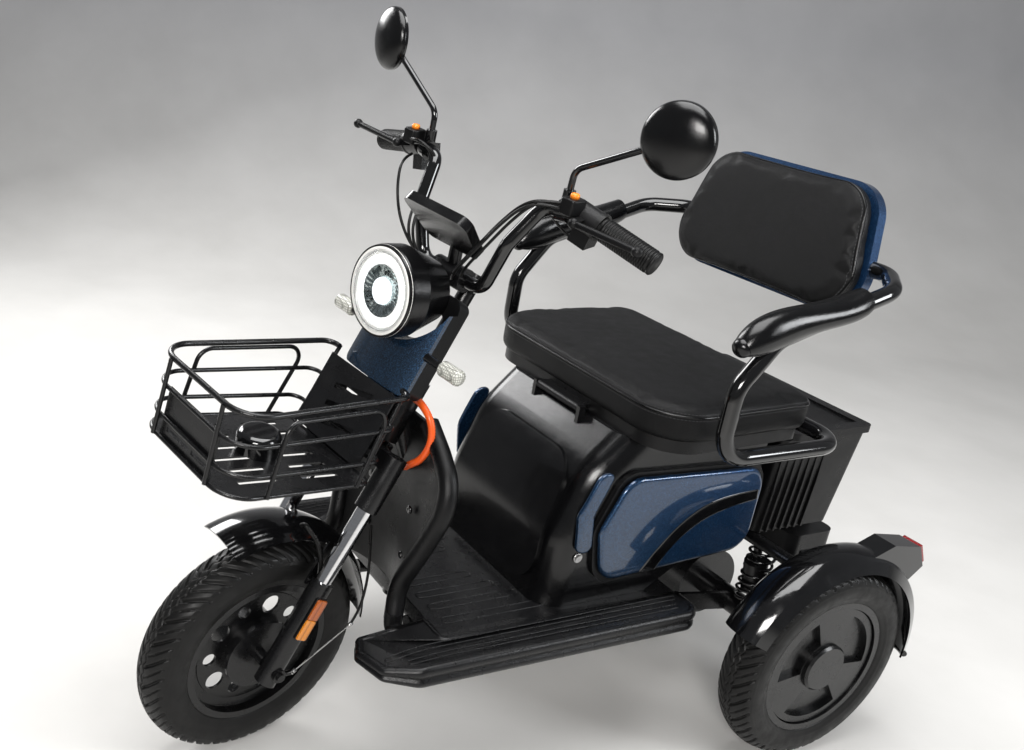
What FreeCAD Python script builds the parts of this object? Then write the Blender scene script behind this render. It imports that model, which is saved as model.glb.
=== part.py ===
import FreeCAD, Part
import Sketcher
import math
import os
from types import SimpleNamespace
from FreeCAD import Placement, Rotation, Vector

doc = FreeCAD.newDocument("MobilityTrike")

# Driving sizes, in millimetres and degrees. X runs to the rider's left, Y to the rear, Z up.
# The origin lies on the ground, midway along the whole length.

WHEEL_SIZES = {
    "wheelbase": 976,
    "rear_axle_back": 460,
    "rear_track": 680,
    "front_tyre_radius": 203,
    "rear_tyre_radius": 195,
    "tyre_width": 80,
    "bead_radius": 127,
    "flange_radius": 135,
    "rim_width": 66,
    "rim_gauge": 4,
    "rim_well_depth": 16,
    "front_disc_gauge": 5,
    "drum_radius": 58,
    "drum_width": 52,
    "hub_bore_radius": 8,
    "rim_window_large": 17,
    "rim_window_small": 12,
    "rim_window_circle": 84,
    "spoke_disc_gauge": 14,
    "spoke_pocket_depth": 10,
    "spoke_pocket_inner": 54,
    "spoke_pocket_outer": 108,
    "spoke_angle": 48,
    "hub_cap_radius": 47,
    "hub_cap_height": 9,
    "hub_cap_edge": 4,
    "wheel_fit": 0.3,
}

STEERING_SIZES = {
    "rake_angle": 26.25,
    "trail": 63,
    "rest_steer_angle": 12.2,
    "fork_half_span": 75,
    "slider_radius": 19,
    "slider_length": 172,
    "slider_tail": 26,
    "stanchion_radius": 14,
    "stanchion_shown": 140,
    "sleeve_radius": 20,
    "sleeve_length": 70,
    "crown_height": 28,
    "crown_boss_radius": 25,
    "front_axle_radius": 7.5,
    "axle_nut_radius": 12,
    "axle_nut_width": 10,
    "steerer_radius": 14,
    "head_tube_radius": 26,
    "head_tube_length": 112,
    "head_tube_gap": 7,
    "bearing_fit": 0.3,
    "top_yoke_height": 26,
    "reflector_length": 48,
    "reflector_width": 20,
    "reflector_depth": 9,
    "brake_plate_radius": 64,
    "brake_plate_gauge": 8,
    "brake_plate_gap": 5,
}

BAR_SIZES = {
    "bar_radius": 11,
    "bar_bend": 28,
    "bar_clamp_height": 845,
    "bar_clamp_ahead": 56,
    "bar_clamp_radius": 19,
    "bar_clamp_length": 70,
    "bar_foot_half": 71,
    "bar_rise_half": 101,
    "bar_rise_height": 86,
    "bar_shoulder_half": 122,
    "bar_shoulder_height": 150,
    "bar_shoulder_back": 35,
    "bar_grip_half": 184,
    "bar_grip_height": 155,
    "bar_grip_back": 51,
    "bar_end_half": 303,
    "bar_end_height": 126,
    "bar_end_back": 77,
    "grip_radius": 17,
    "grip_length": 97,
    "grip_flange_radius": 21,
    "grip_flange_width": 5,
    "pod_radius": 20,
    "pod_length": 40,
    "switch_width": 30,
    "switch_height": 44,
    "switch_depth": 34,
    "lever_radius": 5,
    "lever_ball_radius": 8,
    "lever_reach": 40,
    "lever_length": 108,
    "lever_tip_reach": 60,
    "lever_tip_rise": 26,
    "mirror_radius": 51,
    "mirror_depth": 18,
    "mirror_glass_gauge": 2,
    "mirror_glass_edge": 4,
    "mirror_half": 300,
    "mirror_along_y": -170,
    "mirror_height": 1143,
    "mirror_arm_radius": 5,
    "mirror_arm_rise": 30,
    "mirror_base_radius": 9,
    "mirror_base_height": 18,
    "mirror_base_sink": 2,
    "mirror_ring_radius": 16,
    "mirror_ring_width": 18,
    "mirror_ring_inboard": 59,
    "mirror_yaw_angle": 14,
}

FRONT_SIZES = {
    "lamp_radius": 72,
    "lamp_back_radius": 50,
    "lamp_depth": 92,
    "lamp_face_y": -360,
    "lamp_height": 829,
    "lamp_tilt_angle": 5,
    "lamp_lens_radius": 64,
    "lamp_lens_gauge": 12,
    "lamp_rim_width": 8,
    "lamp_stay_radius": 10,
    "panel_low_half": 76,
    "panel_high_half": 74,
    "panel_ahead": 111,
    "panel_low_along": 711,
    "panel_length": 173,
    "panel_gauge": 7,
    "panel_bow": 18,
    "panel_corner": 14,
    "backing_depth": 26,
    "signal_half": 133,
    "signal_y": -315,
    "signal_height": 745,
    "signal_length": 44,
    "signal_radius": 13,
    "signal_stalk_radius": 7,
    "display_top_half": 75,
    "display_low_half": 59,
    "display_top_y": -284,
    "display_top_height": 964,
    "display_low_y": -221,
    "display_low_height": 899,
    "display_gauge": 16,
    "fender_front_radius": 226,
    "fender_front_half": 52,
    "fender_front_gauge": 4,
    "fender_front_drop": 16,
    "fender_front_lead": 10,
    "fender_front_lift": 27,
    "fender_front_stay_half": 51,
    "fender_front_stay_drop": 22,
    "fender_front_stay_rise": 60,
    "fender_front_start_angle": 110,
    "fender_front_end_angle": -2,
}

BASKET_SIZES = {
    "basket_wire_radius": 3.5,
    "basket_rim_radius": 4.5,
    "basket_front_half": 123,
    "basket_rear_half": 106,
    "basket_front_y": -669,
    "basket_rear_y": -358,
    "basket_front_height": 726,
    "basket_rear_height": 698,
    "basket_drop_front": 121,
    "basket_drop_rear": 132,
    "basket_floor_front_half": 128,
    "basket_floor_rear_half": 118,
    "basket_floor_front_y": -687,
    "basket_floor_rear_y": -420,
    "basket_corner": 49,
    "basket_rear_corner": 20,
    "basket_front_plate_half": 72,
    "basket_back_plate_half": 84,
    "basket_slot_width": 9,
    "basket_plate_gauge": 3,
    "basket_bowl_radius": 35,
    "basket_bowl_height": 38,
    "basket_back_half": 62,
    "basket_back_rise": 122,
    "basket_back_slots": 3,
    "bracket_half": 30,
    "bracket_gauge": 6,
    "bracket_stay_ahead": 66,
}

BODY_SIZES = {
    "floor_height": 300,
    "floor_skirt": 38,
    "floor_wall": 6,
    "floor_half": 280,
    "floor_rear_y": 230,
    "floor_front_y": -262,
    "floor_nose_y": -410,
    "floor_nose_half": 152,
    "floor_corner": 34,
    "floor_slope_length": 84,
    "floor_slope_drop": 20,
    "floor_tray_depth": 8,
    "floor_ledge_width": 72,
    "shield_gauge": 6,
    "shield_edge_radius": 16,
    "shield_top_height": 612,
    "shield_foot_half": 134,
    "shield_waist_half": 118,
    "shield_mid_half": 146,
    "shield_wide_half": 170,
    "shield_neck_half": 118,
    "shield_top_half": 70,
    "shield_foot_curl": 56,
    "shield_waist_curl": 46,
    "shield_mid_curl": 25,
    "shield_wide_curl": 14,
    "shield_shoulder_half": 160,
    "shield_shoulder_curl": 6,
    "shield_neck_curl": 2,
    "shield_top_curl": 1,
    "seat_box_half": 185,
    "seat_box_front_y": -55,
    "seat_box_knee_y": -42,
    "seat_box_knee_drop": 180,
    "seat_box_shoulder_y": 0,
    "seat_box_shoulder_drop": 60,
    "seat_box_top_y": 60,
    "seat_box_top_height": 600,
    "seat_box_rear_y": 385,
    "seat_box_corner": 48,
    "seat_box_bend": 150,
    "seat_box_wall": 14,
    "seat_box_floor_gauge": 8,
    "arch_half": 148,
    "arch_low_height": 312,
    "arch_high_drop": 52,
    "arch_corner": 60,
    "arch_gauge": 6,
    "panel_front_y": 24,
    "panel_rear_y": 383,
    "panel_low_height": 340,
    "panel_high_drop": 62,
    "side_panel_corner": 44,
    "side_panel_gauge": 9,
    "side_panel_edge": 4,
    "side_trim_margin": 7,
    "side_trim_gauge": 8,
    "accent_front_y": -22,
    "accent_width": 32,
    "accent_low_height": 400,
    "accent_high_drop": 52,
    "battery_width": 260,
    "battery_length": 92,
    "battery_height": 170,
}

SEAT_SIZES = {
    "seat_half": 276,
    "seat_rear_half": 262,
    "seat_front_y": 50,
    "seat_rear_y": 403,
    "seat_pan_gauge": 23,
    "seat_gauge": 60,
    "seat_corner": 95,
    "seat_rear_corner": 38,
    "seat_edge": 24,
    "seat_pan_inset": 20,
    "soft_gap": 0.3,
    "hinge_y": 50,
    "hinge_radius": 7,
    "hinge_pin_radius": 3,
    "hinge_half": 60,
    "hinge_ear_width": 8,
    "arm_half": 300,
    "arm_radius": 14,
    "arm_bend": 56,
    "arm_low_rise": 11,
    "arm_low_rear_y": 423,
    "arm_post_y": 139,
    "arm_post_height": 735,
    "arm_shoulder_y": 200,
    "arm_shoulder_height": 812,
    "arm_rear_y": 432,
    "arm_rear_height": 882,
    "arm_back_y": 492,
    "arm_back_inset": 60,
    "arm_back_height": 890,
    "arm_stay_y": 405,
    "pad_nose_y": 127,
    "pad_nose_height": 804,
    "pad_bulb_y": 162,
    "pad_bulb_height": 820,
    "pad_swell_y": 206,
    "pad_swell_height": 834,
    "pad_waist_y": 260,
    "pad_waist_height": 845,
    "pad_rear_y": 365,
    "pad_rear_height": 869,
    "pad_nose_gauge": 30,
    "pad_bulb_gauge": 60,
    "pad_waist_gauge": 49,
    "pad_rear_gauge": 43,
    "pad_nose_width": 34,
    "pad_width": 50,
    "pad_rear_width": 46,
    "back_low_half": 235,
    "back_high_half": 180,
    "back_height": 230,
    "back_low_height": 807,
    "back_low_y": 420,
    "back_lean_angle": 10.5,
    "back_gauge": 38,
    "back_corner": 72,
    "back_edge": 18,
    "back_shell_gauge": 20,
    "back_shell_inset": 2,
}

REAR_SIZES = {
    "box_half": 188,
    "box_low_inset": 10,
    "box_front_y": 425,
    "box_rear_y": 618,
    "box_rear_rake": 22,
    "box_high_height": 565,
    "box_wall": 4,
    "lid_gauge": 14,
    "lid_overhang": 6,
    "lid_strip": 16,
    "lid_gap": 1,
    "lid_corner": 14,
    "lid_recess": 4,
    "lid_recess_margin": 22,
    "lower_cover_half": 178,
    "lower_cover_front_y": 540,
    "lower_cover_rear_y": 655,
    "lower_cover_low_height": 285,
    "lower_cover_edge": 22,
    "fender_crown_radius": 232,
    "fender_shoulder_half": 374,
    "fender_shoulder_radius": 220,
    "fender_lip_radius": 199,
    "fender_outer_half": 384,
    "fender_inner_half": 292,
    "fender_inner_radius": 203,
    "fender_crown_half": 338,
    "fender_rear_gauge": 4,
    "fender_rear_start_angle": -4,
    "fender_rear_sweep_angle": 160,
    "fender_rear_roll": 6,
    "tail_lamp_half": 345,
    "tail_lamp_width": 46,
    "tail_lamp_nose_y": 503,
    "tail_lamp_nose_height": 413,
    "tail_lamp_top_y": 554,
    "tail_lamp_top_height": 431,
    "tail_lens_high_y": 626,
    "tail_lens_high_height": 418,
    "tail_lens_low_y": 650,
    "tail_lens_low_height": 375,
    "tail_lamp_foot_y": 618,
    "tail_lamp_foot_height": 347,
    "tail_lens_gauge": 8,
    "tail_lens_margin": 4,
    "axle_radius": 24,
    "axle_stub_radius": 7.7,
    "motor_radius": 72,
    "motor_width": 150,
    "rail_radius": 13,
    "rail_cross_radius": 12,
    "rail_half": 95,
    "rail_rear_half": 120,
    "rail_rear_height": 358,
    "rail_bend": 60,
    "rail_rear_y": 640,
    "shock_radius": 22,
    "shock_rod_radius": 8,
    "shock_half": 190,
    "arm_plate_gauge": 8,
    "arm_plate_height": 36,
    "arm_pivot_y": 250,
    "down_tube_radius": 21,
}

SIZE_GROUPS = (
    WHEEL_SIZES,
    STEERING_SIZES,
    BAR_SIZES,
    FRONT_SIZES,
    BASKET_SIZES,
    BODY_SIZES,
    SEAT_SIZES,
    REAR_SIZES,
)


def fill_sheet():
    """The spreadsheet that holds every driving size under its alias."""
    sheet = doc.addObject("Spreadsheet::Sheet", "Sizes")
    row = 1
    for group in SIZE_GROUPS:
        for alias, value in group.items():
            sheet.set(f"A{row}", alias)
            sheet.set(f"B{row}", str(value))
            sheet.setAlias(f"B{row}", alias)
            row += 1
    doc.recompute()
    return sheet


sheet = fill_sheet()
aliases = [alias for group in SIZE_GROUPS for alias in group]
S = SimpleNamespace(**{alias: float(sheet.get(alias)) for alias in aliases})

ORIGIN = Vector(0, 0, 0)
ACROSS = Vector(1, 0, 0)
BACK = Vector(0, 1, 0)
UP = Vector(0, 0, 1)
DOWN = Vector(0, 0, -1)
BOTH_SIDES = (-1, 1)
bend_share = 0.45
nodes = {}

# Steering frame: along is the distance up the steering axis, ahead is square to it.
rake = math.radians(S.rake_angle)
front_axle_y = S.rear_axle_back - S.wheelbase
steer_up = Vector(0, math.sin(rake), math.cos(rake))
steer_ahead = Vector(0, -math.cos(rake), math.sin(rake))
steer_foot = Vector(0, front_axle_y - S.trail, 0)
rest_turn = Placement(ORIGIN, Rotation(steer_up, S.rest_steer_angle), steer_foot)
front_axle = Vector(0, front_axle_y, S.front_tyre_radius)
axle_ahead = (front_axle - steer_foot).dot(steer_ahead)
axle_along = (front_axle - steer_foot).dot(steer_up)
rear_axle = Vector(0, S.rear_axle_back, S.rear_tyre_radius)
crown_along = axle_along + S.slider_length + S.stanchion_shown + S.sleeve_length
bar_clamp_drop = S.bar_clamp_ahead * math.sin(rake)
bar_clamp_along = (S.bar_clamp_height - bar_clamp_drop) / math.cos(rake)
head_low_along = crown_along + S.crown_height + S.head_tube_gap
lamp_lean = math.radians(S.lamp_tilt_angle)
seat_low = S.seat_box_top_height + S.seat_pan_gauge
seat_high = seat_low + S.seat_gauge
seat_box_shoulder = S.seat_box_top_height - S.seat_box_shoulder_drop
seat_box_knee = S.seat_box_top_height - S.seat_box_knee_drop
arch_high = S.seat_box_top_height - S.arch_high_drop
side_panel_high = S.seat_box_top_height - S.panel_high_drop
accent_high = S.seat_box_top_height - S.accent_high_drop
arm_low = S.seat_box_top_height + S.arm_low_rise
basket_back = Vector(0, S.basket_floor_rear_y, S.basket_rear_height - S.basket_drop_rear)
basket_back_ahead = (basket_back - steer_foot).dot(steer_ahead)


def at_fork(across, ahead, along):
    """A point given in the steering frame, wheels straight ahead."""
    return steer_foot + ACROSS * across + steer_ahead * ahead + steer_up * along


def mirrored(shape):
    """The same shape on the other side of the vehicle."""
    return shape.mirror(ORIGIN, ACROSS)


def expression(text):
    """Turns size names into references to the sheet."""
    words = text.split(" ")
    return " ".join(f"Sizes.{word}" if word in aliases else word for word in words)


def bind(item, **formulas):
    for prop, text in formulas.items():
        item.setExpression(prop, expression(text))


def node(name, item, steered=False):
    """Names a finished sub-part, seats it and lists it for export."""
    item.Label = name
    if steered:
        item.Placement = rest_turn.multiply(item.Placement)
    nodes[name] = item
    return item


def piece(name, shape, steered=False):
    """A sub-part whose shape is built directly from the sheet's sizes."""
    item = doc.addObject("Part::Feature", name)
    item.Shape = shape
    return node(name, item, steered)


def rod(name, radius, height, base, direction):
    """A round bar from base along direction, radius and height bound to the sheet."""
    item = doc.addObject("Part::Cylinder", name)
    bind(item, Radius=radius, Height=height)
    item.Placement = Placement(base, Rotation(UP, direction))
    return item


def block(name, length, width, height, corner):
    """A box from its lowest corner, sides bound to the sheet."""
    item = doc.addObject("Part::Box", name)
    bind(item, Length=length, Width=width, Height=height)
    item.Placement = Placement(corner, Rotation())
    return item


def fused(name, items):
    item = doc.addObject("Part::MultiFuse", name)
    item.Shapes = items
    item.Refine = True
    return item


def cut_from(name, base, tool):
    item = doc.addObject("Part::Cut", name)
    item.Base = base
    item.Tool = tool
    return item


def rounded_path(points, bend, closed=False):
    """Straight runs joined by tangent arcs, as edges; bend is one radius or a list."""
    count = len(points)
    corners = range(count) if closed else range(1, count - 1)
    arcs = []
    for index in corners:
        here = points[index]
        before = points[index - 1] - here
        after = points[(index + 1) % count] - here
        wanted = bend[index] if isinstance(bend, list) else bend
        if wanted == 0:
            arcs.append((here, None, here))
            continue
        shorter = min(before.Length, after.Length)
        half_turn = before.getAngle(after) / 2
        radius = min(wanted, bend_share * shorter * math.tan(half_turn))
        reach = radius / math.tan(half_turn)
        before.normalize()
        after.normalize()
        inward = (before + after).normalize()
        middle = here + inward * (radius / math.sin(half_turn) - radius)
        arcs.append((here + before * reach, middle, here + after * reach))
    edges = []
    last = arcs[-1][2] if closed else points[0]
    for first, middle, end in arcs:
        edges.append(Part.LineSegment(last, first).toShape())
        if middle:
            edges.append(Part.Arc(first, middle, end).toShape())
        last = end
    if not closed:
        edges.append(Part.LineSegment(last, points[-1]).toShape())
    return edges


def tube(points, radius, bend):
    """A round bar along an open path."""
    edges = rounded_path(points, bend)
    ring = Part.makeCircle(radius, points[0], points[1] - points[0])
    return Part.Wire(edges).makePipeShell([Part.Wire(ring)], True, False)


def ring_tube(points, radius, bend):
    """A round bar along a closed path, made as two halves."""
    edges = rounded_path(points, bend, closed=True)
    half = len(edges) // 2
    halves = []
    for run in (edges[:half], edges[half:]):
        start = run[0].valueAt(run[0].FirstParameter)
        heading = run[0].tangentAt(run[0].FirstParameter)
        ring = Part.makeCircle(radius, start, heading)
        halves.append(Part.Wire(run).makePipeShell([Part.Wire(ring)], True, False))
    return halves[0].fuse(halves[1]).removeSplitter()


def bar(start, end, radius):
    return Part.makeCylinder(radius, (end - start).Length, start, end - start)


def join(shapes):
    return shapes[0].multiFuse(shapes[1:]).removeSplitter()


def polygon_face(points):
    return Part.Face(Part.makePolygon(points + points[:1]))


def rounded_face(points, bend):
    return Part.Face(Part.Wire(rounded_path(points, bend, closed=True)))


def slab(left, right, front, rear, low, high):
    size = Vector(right - left, rear - front, high - low)
    return Part.makeBox(size.x, size.y, size.z, Vector(left, front, low))


def edges_along(shape, direction, keep=None):
    """Straight edges parallel to a direction, for rounding."""
    found = []
    for edge in shape.Edges:
        if edge.Curve.TypeId != "Part::GeomLine":
            continue
        parallel = abs(edge.tangentAt(edge.FirstParameter).dot(direction)) > 1 - angle_share
        if parallel and (keep is None or keep(edge.CenterOfMass)):
            found.append(edge)
    return found


angle_share = 0.001


# Wheels


def tyre_shape(radius):
    """A tyre's section, revolved about the X axis at the origin."""
    belly_share, shoulder_height_share, shoulder_share = 0.42, 0.8, 0.84
    seat = S.bead_radius + S.wheel_fit
    lip = S.flange_radius + S.wheel_fit
    bead_half = S.rim_width / 2 - S.rim_gauge - S.wheel_fit
    half = S.tyre_width / 2
    wall = radius - lip
    foot = Vector(S.rim_width / 2, lip, 0)
    belly = Vector(half, lip + wall * belly_share, 0)
    shoulder = Vector(half * shoulder_share, lip + wall * shoulder_height_share, 0)
    crown = Vector(0, radius, 0)
    inner = [Vector(bead_half, lip, 0), Vector(bead_half, seat, 0)]

    def other(point):
        return Vector(-point.x, point.y, 0)

    edges = [
        Part.Arc(foot, belly, shoulder).toShape(),
        Part.Arc(shoulder, crown, other(shoulder)).toShape(),
        Part.Arc(other(shoulder), other(belly), other(foot)).toShape(),
    ]
    corners = [other(foot), other(inner[0]), other(inner[1]), inner[1], inner[0], foot]
    edges += [Part.LineSegment(a, b).toShape() for a, b in zip(corners, corners[1:])]
    section = Part.Face(Part.Wire(Part.__sortEdges__(edges)))
    return section.revolve(ORIGIN, ACROSS, 360)


def outline(body, name, role, corners):
    """A closed sketch of straight sides, each corner bound to the sheet."""
    sketch = body.newObject("Sketcher::SketchObject", name)
    plane = next(f for f in body.Origin.OriginFeatures if f.Role == role)
    sketch.AttachmentSupport = [(plane, "")]
    sketch.MapMode = "FlatFace"
    places = [tuple(evaluate(text) for text in corner) for corner in corners]
    count = len(places)
    for index in range(count):
        first = Vector(*places[index], 0)
        last = Vector(*places[(index + 1) % count], 0)
        sketch.addGeometry(Part.LineSegment(first, last), False)
    for index in range(count):
        after = (index + 1) % count
        sketch.addConstraint(Sketcher.Constraint("Coincident", index, 2, after, 1))
    for index, corner in enumerate(corners):
        for kind, text, value in zip(("DistanceX", "DistanceY"), corner, places[index]):
            number = sketch.addConstraint(Sketcher.Constraint(kind, -1, 1, index, 1, value))
            sketch.setExpression(f"Constraints[{number}]", expression(text))
    return sketch


def evaluate(text):
    """The value of a size formula, for a sketch's first drawing."""
    return float(sheet.evalExpression(expression(text).replace("Sizes.", "")))


def revolved(body, name, corners):
    """A ring of the body about its X axis, from an outline in X and radius."""
    sketch = outline(body, name + "_outline", "XY_Plane", corners)
    ring = body.newObject("PartDesign::Revolution", name)
    ring.Profile = sketch
    ring.ReferenceAxis = (sketch, ["H_Axis"])
    ring.Angle = 360
    return ring


def band(body, name, low_x, high_x, inner, outer):
    corners = [(low_x, inner), (high_x, inner), (high_x, outer), (low_x, outer)]
    return revolved(body, name, corners)


def barrel_corners():
    """The rim's flanges, bead seats and well, outer face and then inner."""
    edge, inside = "rim_width / 2", "rim_width / 2 - rim_gauge"
    seat, well = "rim_width / 4", "rim_width / 4 - rim_gauge"
    bed, floor = "bead_radius", "bead_radius - rim_well_depth"
    outer = [(edge, "flange_radius"), (inside, "flange_radius"), (inside, bed)]
    outer += [(seat, bed), (well, floor)]
    inner = [(edge, "bead_radius - rim_gauge"), (seat, "bead_radius - rim_gauge")]
    inner += [(well, "bead_radius - rim_well_depth - rim_gauge")]

    def other(corners):
        return [(f"0 - ( {x} )", radius) for x, radius in reversed(corners)]

    return outer + other(outer) + other(inner[::-1]) + inner[::-1]


def ring_of_windows(radii, depth, side_x):
    """Round windows spaced evenly on one circle, sizes taken in turn."""
    count = len(radii)
    windows = []
    for index, radius in enumerate(radii):
        angle = 2 * math.pi * index / count
        place = Vector(side_x, 0, 0)
        place += BACK * (S.rim_window_circle * math.cos(angle))
        place += UP * (S.rim_window_circle * math.sin(angle))
        windows.append(Part.makeCylinder(radius, depth, place, ACROSS))
    return windows


def front_wheel():
    """Pressed steel wheel with round windows in two sizes, drum hub and tyre."""
    body = doc.addObject("PartDesign::Body", "front_rim_body")
    revolved(body, "front_barrel", barrel_corners())
    disc = "drum_width / 6"
    well = "bead_radius - rim_well_depth - rim_gauge"
    band(body, "front_disc", disc, disc + " + front_disc_gauge", "hub_bore_radius", well)
    half = "drum_width / 2"
    band(body, "front_drum", "0 - " + half, half, "hub_bore_radius", "drum_radius")
    body.Placement = Placement(front_axle, Rotation())
    doc.recompute()
    pairs = 5
    radii = [S.rim_window_large, S.rim_window_small] * pairs
    windows = Part.Compound(ring_of_windows(radii, S.rim_width, 0))
    tool = doc.addObject("Part::Feature", "front_windows")
    tool.Shape = windows
    tool.Placement = Placement(front_axle, Rotation())
    node("front_rim", cut_from("front_rim_cut", body, tool), steered=True)
    tyre = tyre_shape(S.front_tyre_radius)
    tyre.translate(front_axle)
    piece("front_tyre", tyre, steered=True)


def spoke_pocket(angle, spokes):
    """One shallow recess between two broad spokes, on the outer face."""
    face_x = S.rim_width / 2 - S.spoke_pocket_depth
    outer = Part.makeCylinder(S.spoke_pocket_outer, S.rim_width, Vector(face_x, 0, 0), ACROSS)
    inner = Part.makeCylinder(S.spoke_pocket_inner, S.rim_width, Vector(face_x, 0, 0), ACROSS)
    ring = outer.cut(inner)
    half = math.pi / spokes - math.radians(S.spoke_angle / 2)
    far = S.spoke_pocket_outer / math.cos(half)
    corners = [Vector(face_x, 0, 0)]
    for turn in (-half, half):
        corners.append(Vector(face_x, far * math.cos(turn), far * math.sin(turn)))
    wedge = polygon_face(corners).extrude(ACROSS * S.rim_width)
    pocket = ring.common(wedge)
    pocket.rotate(ORIGIN, ACROSS, angle)
    return pocket


spoke_start_share = 0.25


def rear_wheels():
    """Moulded wheels with three broad spokes, a round cap, and their tyres."""
    for name, side in (("right", -1), ("left", 1)):
        body = doc.addObject("PartDesign::Body", f"rear_rim_{name}_body")
        revolved(body, f"rear_barrel_{name}", barrel_corners())
        face = "rim_width / 2 - rim_gauge"
        well = "bead_radius - rim_gauge - rim_gauge / 2"
        band(body, f"rear_disc_{name}", face + " - spoke_disc_gauge", face, "hub_bore_radius", well)
        band(body, f"rear_hub_{name}", "0 - rim_width / 4", face, "hub_bore_radius", "drum_radius - drum_width / 4")
        doc.recompute()
        shape = body.Shape.copy()
        spokes = 3
        for index in range(spokes):
            pocket = spoke_pocket(math.degrees(math.pi * (index + spoke_start_share) / spokes * 2), spokes)
            pocket.translate(ACROSS * -S.rim_gauge)
            shape = shape.cut(pocket)
        cap_base = Vector(S.rim_width / 2 - S.rim_gauge - S.spoke_disc_gauge / 2, 0, 0)
        cap = Part.makeCylinder(S.hub_cap_radius, S.spoke_disc_gauge / 2 + S.hub_cap_height, cap_base, ACROSS)
        rim = [edge for edge in cap.Edges if edge.CenterOfMass.x > cap_base.x + S.spoke_disc_gauge / 2]
        shape = join([shape, cap.makeChamfer(S.hub_cap_edge, rim)])
        tyre = tyre_shape(S.rear_tyre_radius)
        for item, kind in ((shape, "rim"), (tyre, "tyre")):
            placed = item if side > 0 else mirrored(item)
            placed = placed.copy()
            placed.translate(rear_axle + ACROSS * (side * S.rear_track / 2))
            piece(f"rear_{kind}_{name}", placed)


# Fork and steering head


def fork():
    """Two telescopic legs on the front axle, held by a crown and the steerer."""
    sliders = []
    stanchions = []
    sleeves = []
    for side in BOTH_SIDES:
        across = side * S.fork_half_span
        low = at_fork(across, axle_ahead, axle_along - S.slider_tail)
        sliders.append(rod(f"slider_{side}", "slider_radius", "slider_length + slider_tail", low, steer_up))
        top = at_fork(across, axle_ahead, axle_along + S.slider_length)
        stanchions.append(rod(f"stanchion_{side}", "stanchion_radius", "stanchion_shown", top, steer_up))
        high = at_fork(across, axle_ahead, axle_along + S.slider_length + S.stanchion_shown)
        sleeves.append(rod(f"sleeve_{side}", "sleeve_radius", "sleeve_length", high, steer_up))
    axle_start = front_axle - ACROSS * (S.fork_half_span + S.slider_radius + S.axle_nut_width)
    axle = rod(
        "front_axle_rod",
        "front_axle_radius",
        "( fork_half_span + slider_radius + axle_nut_width ) * 2",
        axle_start,
        ACROSS,
    )
    nuts = []
    for side in BOTH_SIDES:
        face = front_axle + ACROSS * (side * (S.fork_half_span + S.slider_radius - S.axle_nut_width / 2))
        nuts.append(rod(f"axle_nut_{side}", "axle_nut_radius", "axle_nut_width", face, ACROSS * side))
    node("fork_sliders", fused("fork_sliders_fuse", sliders + [axle] + nuts), steered=True)
    node("fork_stanchions", fused("fork_stanchions_fuse", stanchions), steered=True)
    node("fork_crown", fused("fork_crown_fuse", sleeves + [crown_feature()]), steered=True)


def crown_feature():
    """Crown plate hulled round both legs and the steerer, with the steerer tube."""
    legs = [at_fork(side * S.fork_half_span, axle_ahead, crown_along) for side in BOTH_SIDES]
    stem = at_fork(0, 0, crown_along)
    shapes = [Part.makeCylinder(S.sleeve_radius, S.crown_height, leg, steer_up) for leg in legs]
    shapes.append(Part.makeCylinder(S.crown_boss_radius, S.crown_height, stem, steer_up))
    reach = S.sleeve_radius
    corners = [legs[0] + steer_ahead * reach, legs[1] + steer_ahead * reach, legs[1], stem, legs[0]]
    shapes.append(polygon_face(corners).extrude(steer_up * S.crown_height))
    top = bar_clamp_along + S.bar_clamp_radius
    shapes.append(Part.makeCylinder(S.steerer_radius, top - crown_along, stem, steer_up))
    shapes.append(yoke_shape())
    shapes.append(lamp_stay(S.lamp_stay_radius))
    item = doc.addObject("Part::Feature", "crown_plate")
    item.Shape = join(shapes)
    return item


def lamp_stay(radius):
    """The short arm from the steerer to the back of the lamp."""
    lamp_back = Vector(0, S.lamp_face_y + S.lamp_depth, S.lamp_height - S.lamp_depth * math.tan(lamp_lean))
    along = (lamp_back - steer_foot).dot(steer_up)
    return bar(at_fork(0, 0, along), lamp_back, radius).cut(lamp_clearance(S.soft_gap))


def yoke_shape():
    """Top yoke that carries the bar clamp ahead of the steerer."""
    low = bar_clamp_along - S.top_yoke_height / 2
    half = S.bar_clamp_length / 2
    corners = [at_fork(-S.steerer_radius, 0, low), at_fork(-half, S.bar_clamp_ahead, low)]
    corners += [at_fork(half, S.bar_clamp_ahead, low), at_fork(S.steerer_radius, 0, low)]
    arm = polygon_face(corners).extrude(steer_up * S.top_yoke_height)
    start = at_fork(-half, S.bar_clamp_ahead, bar_clamp_along)
    clamp = Part.makeCylinder(S.bar_clamp_radius, S.bar_clamp_length, start, ACROSS)
    bore = Part.makeCylinder(S.bar_radius + S.bearing_fit, S.bar_clamp_length, start, ACROSS)
    return arm.fuse(clamp).cut(bore)


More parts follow.
